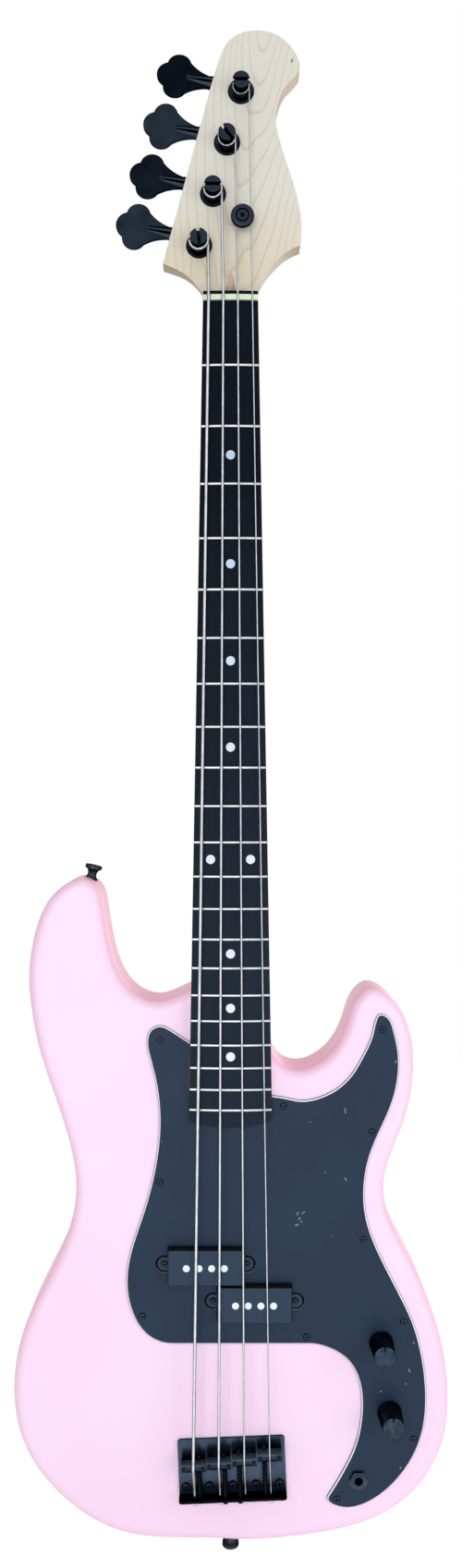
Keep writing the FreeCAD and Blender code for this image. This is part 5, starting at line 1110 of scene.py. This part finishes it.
@dataclass
class TunerAssembly(SubAssembly):
    """The tuners and the string tree on the headstock."""

    key_start_mm: float = 25.0
    key_rest_degrees: tuple[float, ...] = (4.0, 6.0, 4.0, 8.0)
    # Painted light: the E and D keys get lighter tones and the A and G keys darker ones, as their turn meets
    # the light.
    key_dark: tuple[str, ...] = ("#1C2530", "#0F151E", "#1F2833", "#0B1018")
    key_light: tuple[str, ...] = ("#27313D", "#171F29", "#2A343F", "#121821")
    key_roughness: float = 0.42

    def key_finish(self, number: int, name: str) -> GroovedPlating:
        """Return a key's satin black finish, whose grooves lie along the axis that the key turns on.

        Args:
            number: The string's number.
            name: The string's name.

        Returns:
            The finish.
        """
        joint = next(joint for joint in frame["joints"] if joint["name"] == f"key_turn_{name}")
        way, back = Vector(joint["axis"]), Vector((0.0, 1.0, 0.0))
        rest = Matrix.Rotation(math.radians(self.key_rest_degrees[number]), 3, "X")
        turn = (Matrix((way, back.cross(way), back)).transposed() @ rest).to_euler("XYZ")
        start = Vector(joint["pos_m"]) + way * self.key_start_mm * MM
        return GroovedPlating(f"key_black_satin_{name}", self.key_dark[number], self.key_light[number],
                              roughness=self.key_roughness, start=tuple(start), turn=tuple(turn))

    def dress(self) -> None:
        """Give the tuners' pieces their finishes."""
        HARDWARE.dress("tuner_plates", "tuner_ferrules")
        POST.dress(*nodes_for("tuner_post"))
        TREE.dress("string_tree")
        SCREW.dress("tuner_screws")
        GEAR.dress(*nodes_for("worm_wheel"), *nodes_for("worm"))
        for number, name in enumerate(STRING_NAMES):
            self.key_finish(number, name).dress(f"tuner_key_{name}")


@dataclass(frozen=True)
class SoftLight:
    """A square studio lamp with a soft edge, in metres and watts."""

    name: str
    place: Place
    target: Place
    size: float
    power: float

    def build(self) -> None:
        """Hang the lamp and aim it."""
        data = bpy.data.lights.new(self.name, "AREA")
        data.size = self.size
        data.energy = self.power
        lamp = bpy.data.objects.new(self.name, data)
        lamp.location = self.place
        lamp.rotation_euler = (Vector(self.target) - Vector(self.place)).to_track_quat("-Z", "Y").to_euler()
        bpy.context.scene.collection.objects.link(lamp)


@dataclass
class Studio:
    """Camera, lamps, background and floor, in metres."""

    camera_place: Place = (0.00035, -0.8515, 0.5912)
    lens_mm: float = 25.13
    sensor_mm: float = 36.0
    clip_start: float = 0.01
    white: str = "#FFFFFF"
    fill_colour: str = "#F4F6FA"
    fill: float = 0.62
    floor_colour: str = "#F2F2F2"
    floor_glow: float = 0.7
    floor_z: float = -0.0005
    floor_size: float = 3.0
    lamps: tuple[SoftLight, ...] = field(default_factory=lambda: (
        SoftLight("front_lamp", (-0.45, -2.3, 0.7), (0.0, 0.0, 0.28), 1.6, 19.0),
        SoftLight("side_lamp", (1.3, -1.1, 0.6), (0.0, 0.0, 0.4), 1.0, 7.0),
        SoftLight("back_lamp", (1.7, 2.0, 0.9), (0.0, 0.0, 0.45), 1.6, 16.0),
    ))

    def camera(self) -> None:
        """Set up the camera at the photograph's place."""
        data = bpy.data.cameras.new("camera")
        data.lens = self.lens_mm
        data.sensor_width = self.sensor_mm
        data.clip_start = self.clip_start
        shooter = bpy.data.objects.new("camera", data)
        shooter.location = self.camera_place
        shooter.rotation_euler = (math.pi / 2, 0.0, 0.0)
        bpy.context.scene.collection.objects.link(shooter)
        bpy.context.scene.camera = shooter

    def background(self) -> None:
        """Make the world white where it is seen or mirrored, and an even fill elsewhere."""
        world = bpy.data.worlds.new("studio")
        world.use_nodes = True
        tree = world.node_tree
        tree.nodes.clear()
        fill = add(tree, "ShaderNodeBackground", {"Color": linear(self.fill_colour), "Strength": self.fill})
        white = add(tree, "ShaderNodeBackground", {"Color": linear(self.white), "Strength": 1.0})
        mix = add(tree, "ShaderNodeMixShader", {0: seen(tree), 1: fill.outputs[0], 2: white.outputs[0]})
        add(tree, "ShaderNodeOutputWorld", {"Surface": mix.outputs[0]})
        bpy.context.scene.world = world

    def floor_paper(self) -> bpy.types.Material:
        """Return the floor's material, pale paper that looks white and keeps the shadow."""
        made = bpy.data.materials.new("floor_paper")
        made.use_nodes = True
        tree = made.node_tree
        tree.nodes.clear()
        glow = add(tree, "ShaderNodeMath", {0: seen(tree), 1: self.floor_glow}, operation="MULTIPLY")
        paper = add(tree, "ShaderNodeBsdfDiffuse", {"Color": linear(self.floor_colour)})
        lit = add(tree, "ShaderNodeEmission", {"Color": linear(self.white), "Strength": glow.outputs[0]})
        both = add(tree, "ShaderNodeAddShader", {0: paper.outputs[0], 1: lit.outputs[0]})
        add(tree, "ShaderNodeOutputMaterial", {"Surface": both.outputs[0]})
        return made

    def floor(self) -> None:
        """Lay the floor just under the object."""
        shape = bmesh.new()
        bmesh.ops.create_grid(shape, x_segments=2, y_segments=2, size=self.floor_size / 2)
        bmesh.ops.translate(shape, verts=shape.verts, vec=(0.0, 0.0, self.floor_z))
        ground = piece_of(shape, "floor", self.floor_paper())

    def build(self) -> None:
        """Set up the whole studio."""
        self.camera()
        self.background()
        self.floor()
        for lamp in self.lamps:
            lamp.build()
        bpy.context.scene.view_settings.view_transform = "Standard"


def main() -> None:
    """Dress the sub-assemblies in order and set up the studio."""
    logging.basicConfig(level=logging.INFO, format="%(name)s: %(message)s")
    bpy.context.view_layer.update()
    for assembly in (BodyAssembly(), NeckAssembly(), PickupAssembly(), BridgeAssembly(), TunerAssembly()):
        assembly.dress()
    Studio().build()


if __name__ == "__main__":
    main()
